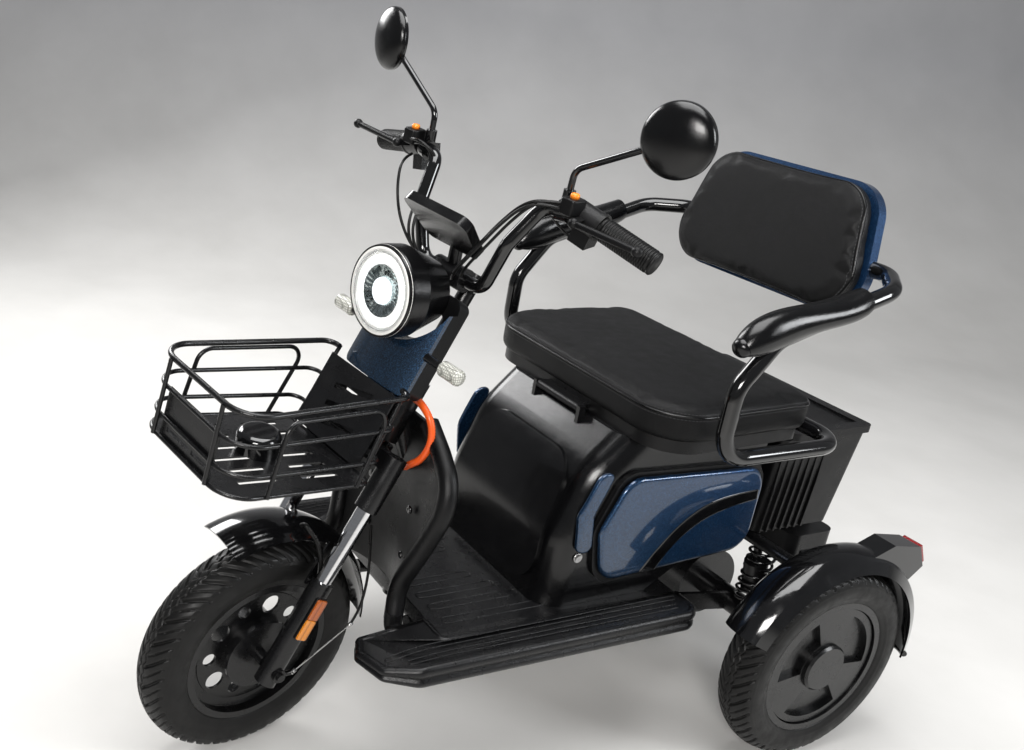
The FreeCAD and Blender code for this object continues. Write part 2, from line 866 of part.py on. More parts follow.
def brake_plate():
    """The front drum's still plate, between the near leg and the drum."""
    reach = S.fork_half_span - S.slider_radius - S.drum_width / 2
    gap = S.brake_plate_gap
    plate = rod("brake_disc", "brake_plate_radius", "brake_plate_gauge", front_axle + ACROSS * (S.drum_width / 2 + gap), ACROSS)
    boss_start = front_axle + ACROSS * (S.drum_width / 2 + gap)
    boss = Part.makeCylinder(S.axle_nut_radius, reach - gap, boss_start, ACROSS)
    other = Part.makeCylinder(S.axle_nut_radius, reach - gap, front_axle - ACROSS * (S.drum_width / 2 + reach), ACROSS)
    doc.recompute()
    axle = Part.makeCylinder(
        S.front_axle_radius, S.fork_half_span * 2, front_axle - ACROSS * S.fork_half_span, ACROSS
    )
    leg_cuts = [
        Part.makeCylinder(S.slider_radius, S.slider_length, at_fork(side * S.fork_half_span, axle_ahead, axle_along - S.slider_tail), steer_up)
        for side in BOTH_SIDES
    ]
    shape = plate.Shape.fuse(boss).cut(axle)
    doc.removeObject(plate.Name)
    spacers = [shape.cut(leg_cuts[1]), other.cut(axle).cut(leg_cuts[0])]
    piece("brake_plate", Part.Compound(spacers), steered=True)


def bar_points(side):
    """One half of the handlebar's centre line, from the clamp to the grip's end."""
    foot = at_fork(0, S.bar_clamp_ahead, bar_clamp_along)
    places = [
        (0, 0, 0),
        (S.bar_foot_half, 0, 0),
        (S.bar_rise_half, 0, S.bar_rise_height),
        (S.bar_shoulder_half, S.bar_shoulder_back, S.bar_shoulder_height),
        (S.bar_grip_half, S.bar_grip_back, S.bar_grip_height),
        (S.bar_end_half, S.bar_end_back, S.bar_end_height),
    ]
    return [foot + Vector(side * x, y, z) for x, y, z in places]


def handlebar():
    """High-rise bar with a grip, a control pod and a lever at each end."""
    halves = []
    for side in BOTH_SIDES:
        points = bar_points(side)
        heading = (points[-1] - points[-2]).normalize()
        points[-1] = points[-1] - heading * (S.grip_flange_width + S.soft_gap)
        halves.append(tube(points, S.bar_radius, S.bar_bend))
    piece("handlebar", join(halves), steered=True)
    grips = []
    pods = []
    for side in BOTH_SIDES:
        start, end = bar_points(side)[-2:]
        heading = (end - start).normalize()
        root = end - heading * S.grip_length
        grip = Part.makeCylinder(S.grip_radius, S.grip_length, root, heading)
        flange = Part.makeCylinder(S.grip_flange_radius, S.grip_flange_width, root, heading)
        core = Part.makeCylinder(S.bar_radius + S.soft_gap, S.grip_length - S.grip_flange_width, root, heading)
        grips.append(grip.fuse(flange).cut(core))
        pods.append(control_pod(side, root, heading))
    piece("grips", Part.Compound(grips), steered=True)
    piece("hand_controls", Part.Compound(pods), steered=True)


def control_pod(side, root, heading):
    """Clamp, switch box and ball-ended brake lever beside one grip."""
    fit = S.wheel_fit
    half = S.pod_length / 2
    clamp = Part.makeCylinder(S.pod_radius, S.pod_length, ACROSS * -half, ACROSS)
    width = min(S.switch_width, S.pod_length) / 2
    box = slab(-width, width, 0, S.switch_depth, -S.switch_height, 0)
    thick, reach = S.lever_radius, S.lever_reach
    arm = slab(-thick, thick, -reach, 0, -thick, thick)
    hinge = BACK * -reach
    tip = ACROSS * S.lever_length - BACK * S.lever_tip_reach + UP * S.lever_tip_rise
    shapes = [clamp, box, arm, bar(hinge, tip, thick)]
    shapes += [Part.makeSphere(S.lever_ball_radius, place) for place in (hinge, tip)]
    shape = join(shapes)
    if side < 0:
        shape = mirrored(shape)
    shape.Placement = Placement(pod_centre(root, heading), Rotation(ACROSS * side, heading))
    return shape.cut(tube(bar_points(side), S.bar_radius + fit, S.bar_bend))


def pod_centre(root, heading):
    """The middle of the clamp that sits inboard of a grip."""
    return root - heading * (S.wheel_fit + S.pod_length / 2)


def mirrors():
    """A round mirror on a bent arm from its own clamp ring beside each pod."""
    arms = []
    glasses = []
    for side in BOTH_SIDES:
        shoulder, start, end = bar_points(side)[-3:]
        ring_run = (start - shoulder).normalize()
        inboard = S.grip_length + S.mirror_ring_inboard - (end - start).Length
        middle = start - ring_run * inboard
        half = S.mirror_ring_width / 2
        ring = Part.makeCylinder(S.mirror_ring_radius, half * 2, middle - ring_run * half, ring_run)
        foot = middle + UP * (S.mirror_ring_radius - S.mirror_base_sink)
        base = Part.makeCylinder(S.mirror_base_radius, S.mirror_base_height, foot, UP)
        centre = Vector(side * S.mirror_half, S.mirror_along_y, S.mirror_height)
        back = centre - BACK * (S.mirror_depth / 2)
        elbow = foot + UP * (S.mirror_base_height + S.mirror_arm_rise)
        arm = tube([foot + UP * S.mirror_base_height, elbow, back], S.mirror_arm_radius, S.mirror_arm_rise)
        shell = Part.makeCylinder(S.mirror_radius, S.mirror_depth, centre - BACK * S.mirror_depth, BACK)
        front_rim = [e for e in shell.Edges if e.CenterOfMass.y < centre.y - S.mirror_depth / 2]
        shell = shell.makeFillet(S.mirror_depth * mirror_round_share, front_rim)
        recess = Part.makeCylinder(
            S.mirror_radius - S.mirror_glass_edge, S.mirror_glass_gauge, centre - BACK * S.mirror_glass_gauge, BACK
        )
        for shape in (shell, recess):
            shape.rotate(centre, UP, S.mirror_yaw_angle * side)
        bore = tube(bar_points(side), S.bar_radius + S.wheel_fit, S.bar_bend)
        arms.append(join([ring, base, arm, shell]).cut([recess, bore]))
        glasses.append(recess)
    piece("mirrors", Part.Compound(arms), steered=True)
    piece("mirror_glasses", Part.Compound(glasses), steered=True)


mirror_round_share = 0.8


def headlight():
    """Round lamp: a drum that tapers back to its mount, with a lens in its rim."""
    face = Vector(0, S.lamp_face_y, S.lamp_height)
    section = [
        (0, 0),
        (S.lamp_lens_radius, 0),
        (S.lamp_lens_radius, -S.lamp_rim_width),
        (S.lamp_radius - S.lamp_rim_width / 4, -S.lamp_rim_width),
        (S.lamp_radius, 0),
        (S.lamp_radius, S.lamp_depth / 3),
        (S.lamp_back_radius, S.lamp_depth),
        (0, S.lamp_depth),
    ]
    bowl = polygon_face([Vector(x, y, 0) for x, y in section]).revolve(ORIGIN, BACK, 360)
    lens_face = Part.makeCylinder(S.lamp_lens_radius - S.wheel_fit, S.lamp_lens_gauge, -BACK * (S.lamp_lens_gauge + S.wheel_fit), BACK)
    rim = [e for e in lens_face.Edges if e.CenterOfMass.y < -S.lamp_lens_gauge / 2]
    lens_face = lens_face.makeFillet(S.lamp_lens_gauge / 2, rim)
    for name, shape in (("headlight_housing", bowl), ("headlight_lens", lens_face)):
        shape.rotate(ORIGIN, ACROSS, -S.lamp_tilt_angle)
        shape.translate(face)
        piece(name, shape, steered=True)


def front_panel():
    """Bowed painted panel below the lamp, with its black backing."""
    low, high = S.panel_low_along, S.panel_low_along + S.panel_length
    ahead = S.panel_ahead
    corners = [
        Vector(-S.panel_low_half, 0, low),
        Vector(S.panel_low_half, 0, low),
        Vector(S.panel_high_half, 0, high),
        Vector(-S.panel_high_half, 0, high),
    ]
    outline_face = rounded_face(corners, S.panel_corner)
    depth = S.panel_ahead
    prism = outline_face.extrude(BACK * (-depth * 2))
    prism.translate(BACK * depth)
    bow_radius = (S.panel_low_half ** 2 + S.panel_bow ** 2) / (2 * S.panel_bow)
    bow_centre = Vector(0, bow_radius, low - S.panel_gauge)
    tall = S.panel_length + S.panel_gauge * 2
    outer = Part.makeCylinder(bow_radius, tall, bow_centre, UP)
    inner = Part.makeCylinder(bow_radius - S.panel_gauge, tall, bow_centre, UP)
    core = Part.makeCylinder(bow_radius - S.panel_gauge - S.backing_depth, tall, bow_centre, UP)
    panel = prism.common(outer.cut(inner))
    backing = prism.common(inner.cut(core))
    lamp = lamp_clearance(S.panel_gauge / 2)
    lean = Rotation(ACROSS, -S.rake_angle)
    for name, shape in (("front_panel", panel), ("panel_backing", backing)):
        shape.Placement = Placement(steer_foot + steer_ahead * ahead, lean)
        shape = shape.cut(lamp)
        if name == "panel_backing":
            shape = shape.cut([steerer_clearance(), lamp_stay(S.lamp_stay_radius + S.soft_gap)])
        piece(name, shape, steered=True)


def lamp_clearance(gap):
    """The space that the lamp's drum takes out of the panel behind it."""
    drum = Part.makeCylinder(S.lamp_radius + gap, S.lamp_depth + gap * 2, BACK * -gap, BACK)
    drum.rotate(ORIGIN, ACROSS, -S.lamp_tilt_angle)
    drum.translate(Vector(0, S.lamp_face_y, S.lamp_height))
    return drum


def steerer_clearance():
    """The space round the head tube that steered covers leave open."""
    radius = S.head_tube_radius + S.head_tube_gap
    return Part.makeCylinder(radius, S.head_tube_length + S.panel_length, at_fork(0, 0, head_low_along), steer_up)


def turn_signals():
    """A clear oval lamp on a stalk at each side of the panel."""
    stalks = []
    lenses = []
    signal_along = (Vector(0, S.signal_y, S.signal_height) - steer_foot).dot(steer_up)
    rise_share = (signal_along - S.signal_radius - S.panel_low_along) / S.panel_length
    panel_edge = S.panel_low_half + (S.panel_high_half - S.panel_low_half) * rise_share + S.soft_gap
    for side in BOTH_SIDES:
        tip = Vector(side * (S.signal_half - S.signal_length / 2), S.signal_y, S.signal_height)
        root = Vector(side * panel_edge, S.signal_y, S.signal_height)
        stalks.append(bar(root, tip, S.signal_stalk_radius))
        lens = Part.makeCylinder(S.signal_radius, S.signal_length, tip, ACROSS * side)
        rim = lens.Edges
        lenses.append(lens.makeFillet(S.signal_radius / 2, [e for e in rim if e.Length < S.signal_length * 3 and e.Closed]))
    piece("signal_stalks", Part.Compound(stalks), steered=True)
    piece("signal_lenses", Part.Compound(lenses), steered=True)


def display():
    """Instrument slab leaning back above the bar clamp."""
    top = Vector(0, S.display_top_y, S.display_top_height)
    low = Vector(0, S.display_low_y, S.display_low_height)
    face = rounded_face(
        [
            low - ACROSS * S.display_low_half,
            low + ACROSS * S.display_low_half,
            top + ACROSS * S.display_top_half,
            top - ACROSS * S.display_top_half,
        ],
        S.display_gauge,
    )
    normal = (top - low).cross(ACROSS).normalize()
    case = face.extrude(normal * -S.display_gauge if normal.z > 0 else normal * S.display_gauge)
    under = (top + low) / 2 - (normal if normal.z > 0 else -normal) * S.display_gauge
    clamp = at_fork(0, S.bar_clamp_ahead, bar_clamp_along) + UP * (S.bar_clamp_radius + S.wheel_fit)
    post = bar(clamp, Vector(0, clamp.y, under.z), S.bar_radius)
    solid_above = face.extrude((normal if normal.z > 0 else -normal) * S.display_gauge * 4)
    piece("display", join([case, post.cut(solid_above)]), steered=True)


def front_fender():
    """Glossy guard over the front tyre, its centre a little ahead of the axle."""
    centre = front_axle - BACK * S.fender_front_lead + UP * S.fender_front_lift
    half, drop, gauge = S.fender_front_half, S.fender_front_drop, S.fender_front_gauge
    radius = S.fender_front_radius
    outer = [Vector(-half, radius - drop, 0), Vector(0, radius, 0), Vector(half, radius - drop, 0)]
    inner = [Vector(half - gauge, radius - drop, 0), Vector(0, radius - gauge, 0)]
    inner.append(Vector(gauge - half, radius - drop, 0))
    edges = [
        Part.Arc(*outer).toShape(),
        Part.LineSegment(outer[-1], inner[0]).toShape(),
        Part.Arc(*inner).toShape(),
        Part.LineSegment(inner[-1], outer[0]).toShape(),
    ]
    section = Part.Face(Part.Wire(Part.__sortEdges__(edges)))
    section.rotate(ORIGIN, ACROSS, S.fender_front_end_angle)
    sweep = S.fender_front_start_angle - S.fender_front_end_angle
    guard = section.revolve(ORIGIN, ACROSS, sweep)
    guard.translate(centre)
    stay_half = S.fender_front_stay_half
    tab_reach = S.fork_half_span - S.slider_radius - S.soft_gap - stay_half + gauge
    low = axle_along + S.slider_length - S.fender_front_stay_drop
    stays = []
    for side in BOTH_SIDES:
        start = at_fork(side * (stay_half - gauge), axle_ahead, low + S.front_axle_radius)
        stays.append(Part.makeCylinder(S.front_axle_radius, tab_reach, start, ACROSS * side))
        strip = slab(stay_half - gauge, stay_half, -S.front_axle_radius, S.front_axle_radius, 0,
                     S.fender_front_stay_drop + S.fender_front_stay_rise)
        strip.rotate(ORIGIN, ACROSS, -S.rake_angle)
        strip.translate(at_fork(0, axle_ahead, low))
        stays.append(strip if side > 0 else mirrored(strip))
    piece("front_fender", join([guard] + stays), steered=True)


def reflectors():
    """A long amber reflector on the outer face of each fork leg."""
    shapes = []
    for side in BOTH_SIDES:
        along = axle_along + S.slider_length / 2
        base = slab(0, S.reflector_depth, 0, S.reflector_width, 0, S.reflector_length)
        base.rotate(ORIGIN, ACROSS, -S.rake_angle)
        base.translate(at_fork(0, axle_ahead + S.reflector_width / 2, along) + ACROSS * S.fork_half_span)
        base.translate(ACROSS * (S.slider_radius - S.reflector_depth / 2))
        leg = Part.makeCylinder(
            S.slider_radius, S.slider_length * 2, at_fork(S.fork_half_span, axle_ahead, axle_along), steer_up
        )
        shape = base.cut(leg)
        shapes.append(shape if side > 0 else mirrored(shape))
    piece("fork_reflectors", Part.Compound(shapes), steered=True)


def basket_corners(share):
    """The basket's four corners at a share of the way from rim to floor."""
    front_y = S.basket_front_y + (S.basket_floor_front_y - S.basket_front_y) * share
    rear_y = S.basket_rear_y + (S.basket_floor_rear_y - S.basket_rear_y) * share
    front_half = S.basket_front_half + (S.basket_floor_front_half - S.basket_front_half) * share
    rear_half = S.basket_rear_half + (S.basket_floor_rear_half - S.basket_rear_half) * share
    front_z = S.basket_front_height - S.basket_drop_front * share
    rear_z = S.basket_rear_height - S.basket_drop_rear * share
    return [
        Vector(front_half, front_y, front_z),
        Vector(rear_half, rear_y, rear_z),
        Vector(-rear_half, rear_y, rear_z),
        Vector(-front_half, front_y, front_z),
    ]


def basket():
    """Tapered wire basket: an open rim, lower loops, hoops, a slotted pan and plates."""
    corner_bends = [S.basket_corner, S.basket_rear_corner, S.basket_rear_corner, S.basket_corner]
    wire = S.basket_wire_radius
    wires = []
    for share in basket_level_shares:
        radius = S.basket_rim_radius if share == 0 else wire
        wires.append(ring_tube(basket_corners(share), radius, corner_bends))
    behind_panel = slab(
        -S.panel_low_half - S.floor_wall, S.panel_low_half + S.floor_wall, S.basket_rear_y - S.basket_corner / 2, 0,
        S.basket_rear_height - S.basket_rim_radius * 2, S.floor_height * 3,
    )
    wires[0] = wires[0].cut(behind_panel)
    floor = basket_corners(1)
    weld = wire * (1 + basket_weld_share)
    for front_share, rear_share in basket_post_shares:
        for first, second, share, out in ((0, 3, front_share, -BACK), (1, 2, rear_share, BACK)):
            ends = [basket_side(first, second, height, share) + out * weld for height in (0, 1)]
            wires.append(bar(*ends, wire))
    for first, second, out in ((0, 1, ACROSS), (3, 2, -ACROSS)):
        run = [(1, basket_hoop_shares[0]), (basket_hoop_top_share, basket_hoop_shares[0])]
        run += [(basket_hoop_top_share, basket_hoop_shares[1]), (1, basket_hoop_shares[1])]
        points = [basket_side(first, second, level, share) + out * weld for level, share in run]
        wires.append(tube(points, wire, S.basket_corner / 2))
    piece("basket_wires", join(wires), steered=True)
    gap = wire + S.wheel_fit
    pan = rounded_face(floor, corner_bends).makeOffset2D(-gap - S.soft_gap)
    pan = pan.extrude(UP * S.basket_plate_gauge)
    pan.translate(DOWN * (S.basket_plate_gauge / 2))
    slots = []
    length = S.basket_floor_rear_y - S.basket_floor_front_y
    pitch = S.basket_floor_rear_half * 2 / (basket_pan_slots + 1)
    for row_share in basket_row_shares:
        y = S.basket_floor_front_y + length * row_share
        for index in range(basket_pan_slots):
            x = pitch * (index + 1) - S.basket_floor_rear_half
            slots.append(slab(x - S.basket_slot_width / 2, x + S.basket_slot_width / 2, y - pitch, y + pitch,
                              0, S.basket_rear_height))
    piece("basket_pan", pan.cut(slots), steered=True)
    plates = [front_plate(*basket_level_shares[1:3], 0), front_plate(*basket_level_shares[2:4], 2), back_plate()]
    piece("basket_plates", Part.Compound([plate.cut(pan_space(floor)) for plate in plates]), steered=True)
    middle = (floor[0] + floor[2]) / 2
    middle.x = 0
    bowl = Part.makeCylinder(S.basket_bowl_radius, S.basket_bowl_height, middle, UP)
    rim = [edge for edge in bowl.Edges if edge.CenterOfMass.z > middle.z + S.basket_bowl_height / 2]
    bowl = bowl.makeFillet(S.basket_bowl_radius / 3, rim)
    piece("basket_bowl", bowl.cut(pan_space(floor)), steered=True)


basket_level_shares = (0, 0.37, 0.74, 1)
basket_post_shares = ((0.2, 0.1), (0.8, 0.9))
basket_hoop_shares = (0.25, 0.88)
basket_hoop_top_share = 0.09
basket_row_shares = (0.3, 0.72)
basket_pan_slots = 6
basket_weld_share = 0.3


def pan_space(floor):
    """All that lies below the top of the basket's pan."""
    space = rounded_face(floor, S.basket_corner).extrude(DOWN * S.basket_bowl_height)
    space.translate(UP * (S.basket_plate_gauge / 2 + S.soft_gap))
    return space


def basket_side(first, second, level, share):
    """A point of one basket side, from its level and the share along it."""
    corners = basket_corners(level)
    return corners[first] + (corners[second] - corners[first]) * share


def front_plate(high_share, low_share, slot_count):
    """A plate inside the front wires between two levels."""
    wire = S.basket_wire_radius
    inward = BACK * (wire + S.wheel_fit)
    high, low = basket_corners(high_share)[0], basket_corners(low_share)[0]
    high, low = Vector(0, high.y, high.z), Vector(0, low.y, low.z)
    half = ACROSS * S.basket_front_plate_half
    face = polygon_face([high - half + inward, high + half + inward, low + half + inward, low - half + inward])
    plate = face.extrude(BACK * S.basket_plate_gauge)
    middle = (high + low) / 2
    for index in range(slot_count):
        start = -half.x * (1 - bend_share / 2) + half.x * index
        plate = plate.cut(slab(start, start + half.x * bend_share * 2, high.y - S.basket_corner, 0,
                               middle.z - wire, middle.z + wire))
    return plate


def back_plate():
    """The slotted plate inside the rear wires, below the painted panel."""
    rears = [basket_corners(share)[1] - steer_foot for share in basket_level_shares[1:]]
    near = max(rear.dot(steer_ahead) for rear in rears) + S.basket_wire_radius + S.wheel_fit
    far = near + S.basket_plate_gauge
    low = (basket_back - steer_foot).dot(steer_up) + S.basket_wire_radius * 2
    high = S.panel_low_along - S.soft_gap
    half = S.basket_back_plate_half
    plate = fork_slab(half, near, far, low, high)
    count = int(S.basket_back_slots)
    pitch = (high - low) / (count + 1)
    for index in range(count):
        along = low + pitch * (index + 1)
        rise = pitch * bend_share
        corners = [at_fork(-half / 2, near - S.basket_plate_gauge, along - rise)]
        corners += [at_fork(half / 2, near - S.basket_plate_gauge, along + rise - S.basket_slot_width)]
        corners += [corners[1] + steer_up * S.basket_slot_width, corners[0] + steer_up * S.basket_slot_width]
        plate = plate.cut(polygon_face(corners).extrude(steer_ahead * (S.basket_plate_gauge * 3)))
    return plate


def basket_bracket():
    """The plate behind the basket, its tongue to the crown and the panel's stay."""
    gauge, half = S.bracket_gauge, S.bracket_half
    crown_front = axle_ahead + S.sleeve_radius
    wires_back = basket_back_ahead - S.basket_wire_radius - S.wheel_fit
    low = crown_along + S.crown_height / 2 - gauge / 2
    tongue = fork_slab(half, crown_front + S.wheel_fit, wires_back, low, low + gauge)
    plate_low = low - S.basket_back_rise / 4
    plate_high = plate_low + S.basket_back_rise
    plate = fork_slab(S.basket_back_half, wires_back - gauge / 2, wires_back, plate_low, plate_high)
    slots = []
    pitch = (plate_high - low - gauge) / (S.basket_back_slots + 1)
    for index in range(int(S.basket_back_slots)):
        slot_low = low + gauge + pitch * (index + 1) - gauge / 2
        slots.append(fork_slab(half, wires_back - gauge, wires_back + gauge, slot_low, slot_low + gauge))
    stay_ahead = S.bracket_stay_ahead
    stay = fork_slab(half, stay_ahead, stay_ahead + gauge, low, S.panel_low_along - S.soft_gap)
    piece("basket_bracket", join([plate.cut(slots), tongue, stay]), steered=True)


def fork_slab(half, near, far, low, high):
    """A block square to the steering axis, from ahead and along limits."""
    shape = slab(-half, half, -far, -near, low, high)
    shape.rotate(ORIGIN, ACROSS, -S.rake_angle)
    shape.translate(steer_foot)
    return shape


def frame():
    """Head tube, down tube behind the shield, two floor rails and their ties."""
    low = at_fork(0, 0, head_low_along)
    outer = rod("head_tube_outer", "head_tube_radius", "head_tube_length", low, steer_up)
    bore = rod("head_tube_bore", "steerer_radius + bearing_fit", "head_tube_length", low, steer_up)
    head = cut_from("head_tube_cut", outer, bore)
    node("head_tube", head)
    doc.recompute()
    clearance = Part.makeCylinder(S.head_tube_radius, S.head_tube_length, low, steer_up)
    points = down_tube_points()
    down_y = points[-1].y
    down = tube(points, S.down_tube_radius, S.rail_bend).cut(clearance)
    rails = []
    for side in BOTH_SIDES:
        rails.append(tube(rail_points(side), S.rail_radius, S.rail_bend))
    for y in (down_y, S.floor_rear_y - S.rail_bend):
        start = Vector(-S.rail_half, y, rail_height)
        rails.append(bar(start, start + ACROSS * (S.rail_half * 2), S.rail_radius))
    cross = Vector(-S.fender_inner_half + stay_gauge, cross_y, S.rail_rear_height)
    rails.append(bar(cross, cross + ACROSS * ((S.fender_inner_half - stay_gauge) * 2), S.rail_cross_radius))
    end = Vector(-S.rail_rear_half, S.rail_rear_y - S.rail_radius, S.rail_rear_height)
    rails.append(bar(end, end + ACROSS * (S.rail_rear_half * 2), S.rail_radius))
    piece("main_frame", join([down] + rails))


stay_gauge = S.fender_rear_gauge + S.floor_skirt / 16
cross_y = S.box_front_y + S.rail_radius / 2
rail_height = S.floor_height - S.floor_skirt - S.rail_radius - S.soft_gap
shield_back_y = S.floor_front_y + S.shield_gauge


def down_tube_points():
    """Centre line of the tube from the head tube down behind the shield."""
    middle = at_fork(0, 0, head_low_along + S.head_tube_length / 2)
    down_y = shield_back_y + S.down_tube_radius + S.wheel_fit
    return [middle, Vector(0, down_y, middle.z - S.head_tube_length), Vector(0, down_y, rail_height)]


def rail_points(side):
    return [
        Vector(side * S.rail_half, S.floor_front_y, rail_height),
        Vector(side * S.rail_half, S.arm_pivot_y, rail_height),
        Vector(side * S.rail_rear_half, S.arm_pivot_y + S.rail_bend * 2, S.rail_rear_height),
        Vector(side * S.rail_rear_half, S.rail_rear_y, S.rail_rear_height),
    ]


# Body shell


tray_top = S.floor_height - S.floor_tray_depth + S.soft_gap


def shield_section(height, half, forward):
    """One level of the leg shield: a thin strip, its edges curved forward."""
    centre_y = S.floor_front_y
    edge_y = centre_y - forward
    gauge = BACK * S.shield_gauge
    front = [Vector(-half, edge_y, height), Vector(0, centre_y, height), Vector(half, edge_y, height)]
    edges = [
        Part.Arc(*front).toShape(),
        Part.LineSegment(front[2], front[2] + gauge).toShape(),
        Part.Arc(*[point + gauge for point in front]).toShape(),
        Part.LineSegment(front[0] + gauge, front[0]).toShape(),
    ]
    return Part.Wire(Part.__sortEdges__(edges))


def shield_levels():
    """Height, half width and forward curl of the shield, from floor to top."""
    rise = S.shield_top_height - tray_top
    level_shares = (0, 0.165, 0.431, 0.65, 0.8, 0.9, 1)
    halves = (S.shield_foot_half, S.shield_waist_half, S.shield_mid_half, S.shield_wide_half)
    halves += (S.shield_shoulder_half, S.shield_neck_half, S.shield_top_half)
    curls = (S.shield_foot_curl, S.shield_waist_curl, S.shield_mid_curl, S.shield_wide_curl)
    curls += (S.shield_shoulder_curl, S.shield_neck_curl, S.shield_top_curl)
    return [(tray_top + rise * share, half, curl) for share, half, curl in zip(level_shares, halves, curls)]


def leg_shield():
    levels = shield_levels()
    sections = [shield_section(*level) for level in levels]
    sheet_shape = Part.makeLoft(sections, True, False)
    rims = []
    for side in BOTH_SIDES:
        points = []
        for height, half, forward in levels:
            points.append(Vector(side * half, S.floor_front_y - forward + S.shield_gauge / 2, height))
        rims.append(tube(points, S.shield_edge_radius, S.floor_half))
    shape = join([sheet_shape] + rims)
    under = slab(-S.floor_half, S.floor_half, S.floor_nose_y, 0, 0, tray_top)
    head = Part.makeCylinder(
        S.head_tube_radius + S.soft_gap, S.head_tube_length + S.head_tube_gap, at_fork(0, 0, head_low_along), steer_up
    )
    down = tube(down_tube_points(), S.down_tube_radius + S.soft_gap, S.rail_bend)
    rails = [tube(rail_points(side), S.rail_radius + S.soft_gap, S.rail_bend) for side in BOTH_SIDES]
    piece("leg_shield", shape.cut([under, head, down] + rails))


def footboard():
    """Moulded floor: a skirted tray with two raised ledges that run forward."""
    body = doc.addObject("PartDesign::Body", "footboard_body")
    nose, wide = "floor_nose_half", "floor_half"
    corners = [
        (nose, "floor_front_y"),
        (nose, "floor_nose_y + floor_corner / 2"),
        (nose + " + floor_corner", "floor_nose_y"),
        (wide + " - floor_corner", "floor_nose_y + floor_corner / 2"),
        (wide, "floor_nose_y + floor_corner * 2"),
        (wide, "floor_rear_y"),
    ]
    left = [(f"0 - ( {x} )", y) for x, y in reversed(corners)]
    sketch = outline(body, "footboard_outline", "XY_Plane", corners + left)
    pad = body.newObject("PartDesign::Pad", "footboard_pad")
    pad.Profile = sketch
    bind(pad, Length="floor_skirt")
    doc.recompute()
    upright = edges_along(pad.Shape, UP, lambda c: c.y < S.floor_front_y - S.floor_wall or c.y > 0)
    names = [edge_name(pad.Shape, edge) for edge in upright]
    rounding = body.newObject("PartDesign::Fillet", "footboard_corners")
    rounding.Base = (pad, names)
    bind(rounding, Radius="floor_corner / 2")
    doc.recompute()
    body.Placement = Placement(UP * (S.floor_height - S.floor_skirt), Rotation())
    doc.recompute()
    shell = body.Shape
    inner = Part.Face(shell.slice(UP, S.floor_height - S.floor_skirt / 2)[0]).makeOffset2D(-S.floor_wall)
    hollow_depth = S.floor_skirt - S.floor_tray_depth - S.floor_wall
    inner.translate(UP * (S.floor_height - S.floor_skirt - inner.BoundBox.ZMin))
    hollow = inner.extrude(UP * hollow_depth)
    tray_half = S.floor_half - S.floor_ledge_width
    tray = slab(
        -tray_half, tray_half, S.floor_front_y, S.floor_rear_y, S.floor_height - S.floor_tray_depth, S.floor_height
    )
    down_y = shield_back_y + S.down_tube_radius + S.wheel_fit
    tube_gap = Part.makeCylinder(S.down_tube_radius + S.soft_gap, S.floor_height, Vector(0, down_y, 0))
    grooves = []
    slope_start = S.floor_nose_y + S.floor_slope_length
    groove_pitch = S.floor_ledge_width / 5
    for side in BOTH_SIDES:
        for index in range(3):
            x = side * (tray_half + groove_pitch * (index + 1.5))
            grooves.append(slab(x - groove_share * groove_pitch, x + groove_share * groove_pitch,
                                slope_start, S.floor_rear_y - S.floor_corner,
                                S.floor_height - S.floor_wall / 3, S.floor_height))
    slope = polygon_face([
        Vector(-S.floor_half, S.floor_nose_y, S.floor_height - S.floor_slope_drop),
        Vector(-S.floor_half, slope_start, S.floor_height),
        Vector(-S.floor_half, slope_start, S.floor_height * 2),
        Vector(-S.floor_half, S.floor_nose_y, S.floor_height * 2),
    ]).extrude(ACROSS * (S.floor_half * 2))
    shape = shell.cut([hollow, tray, tube_gap, slope] + grooves)
    piece("footboard", shape)


groove_share = 0.18


def edge_name(shape, wanted):
    """The name under which a shape's feature refers to one of its edges."""
    for index, edge in enumerate(shape.Edges, 1):
        if edge.isSame(wanted):
            return f"Edge{index}"
    raise ValueError("the edge isn't in the shape")


def seat_box_face(offset=0):
    """Side outline of the seat box, moved out by an offset, its front corners arcs."""
    points = [
        Vector(0, S.seat_box_front_y - offset, tray_top),
        Vector(0, S.seat_box_knee_y - offset, seat_box_knee),
        Vector(0, S.seat_box_shoulder_y - offset, seat_box_shoulder),
        Vector(0, S.seat_box_top_y - offset, S.seat_box_top_height),
        Vector(0, S.seat_box_rear_y, S.seat_box_top_height),
        Vector(0, S.seat_box_rear_y, tail_height),
        Vector(0, S.arm_pivot_y + S.rail_bend, tail_height),
        Vector(0, S.floor_rear_y - S.rail_bend, tray_top),
    ]
    bends = [0, S.seat_box_bend, S.seat_box_bend, 0, 0, 0, 0, 0]
    return rounded_face(points, bends)


tail_height = S.rail_rear_height + S.rail_radius * 2


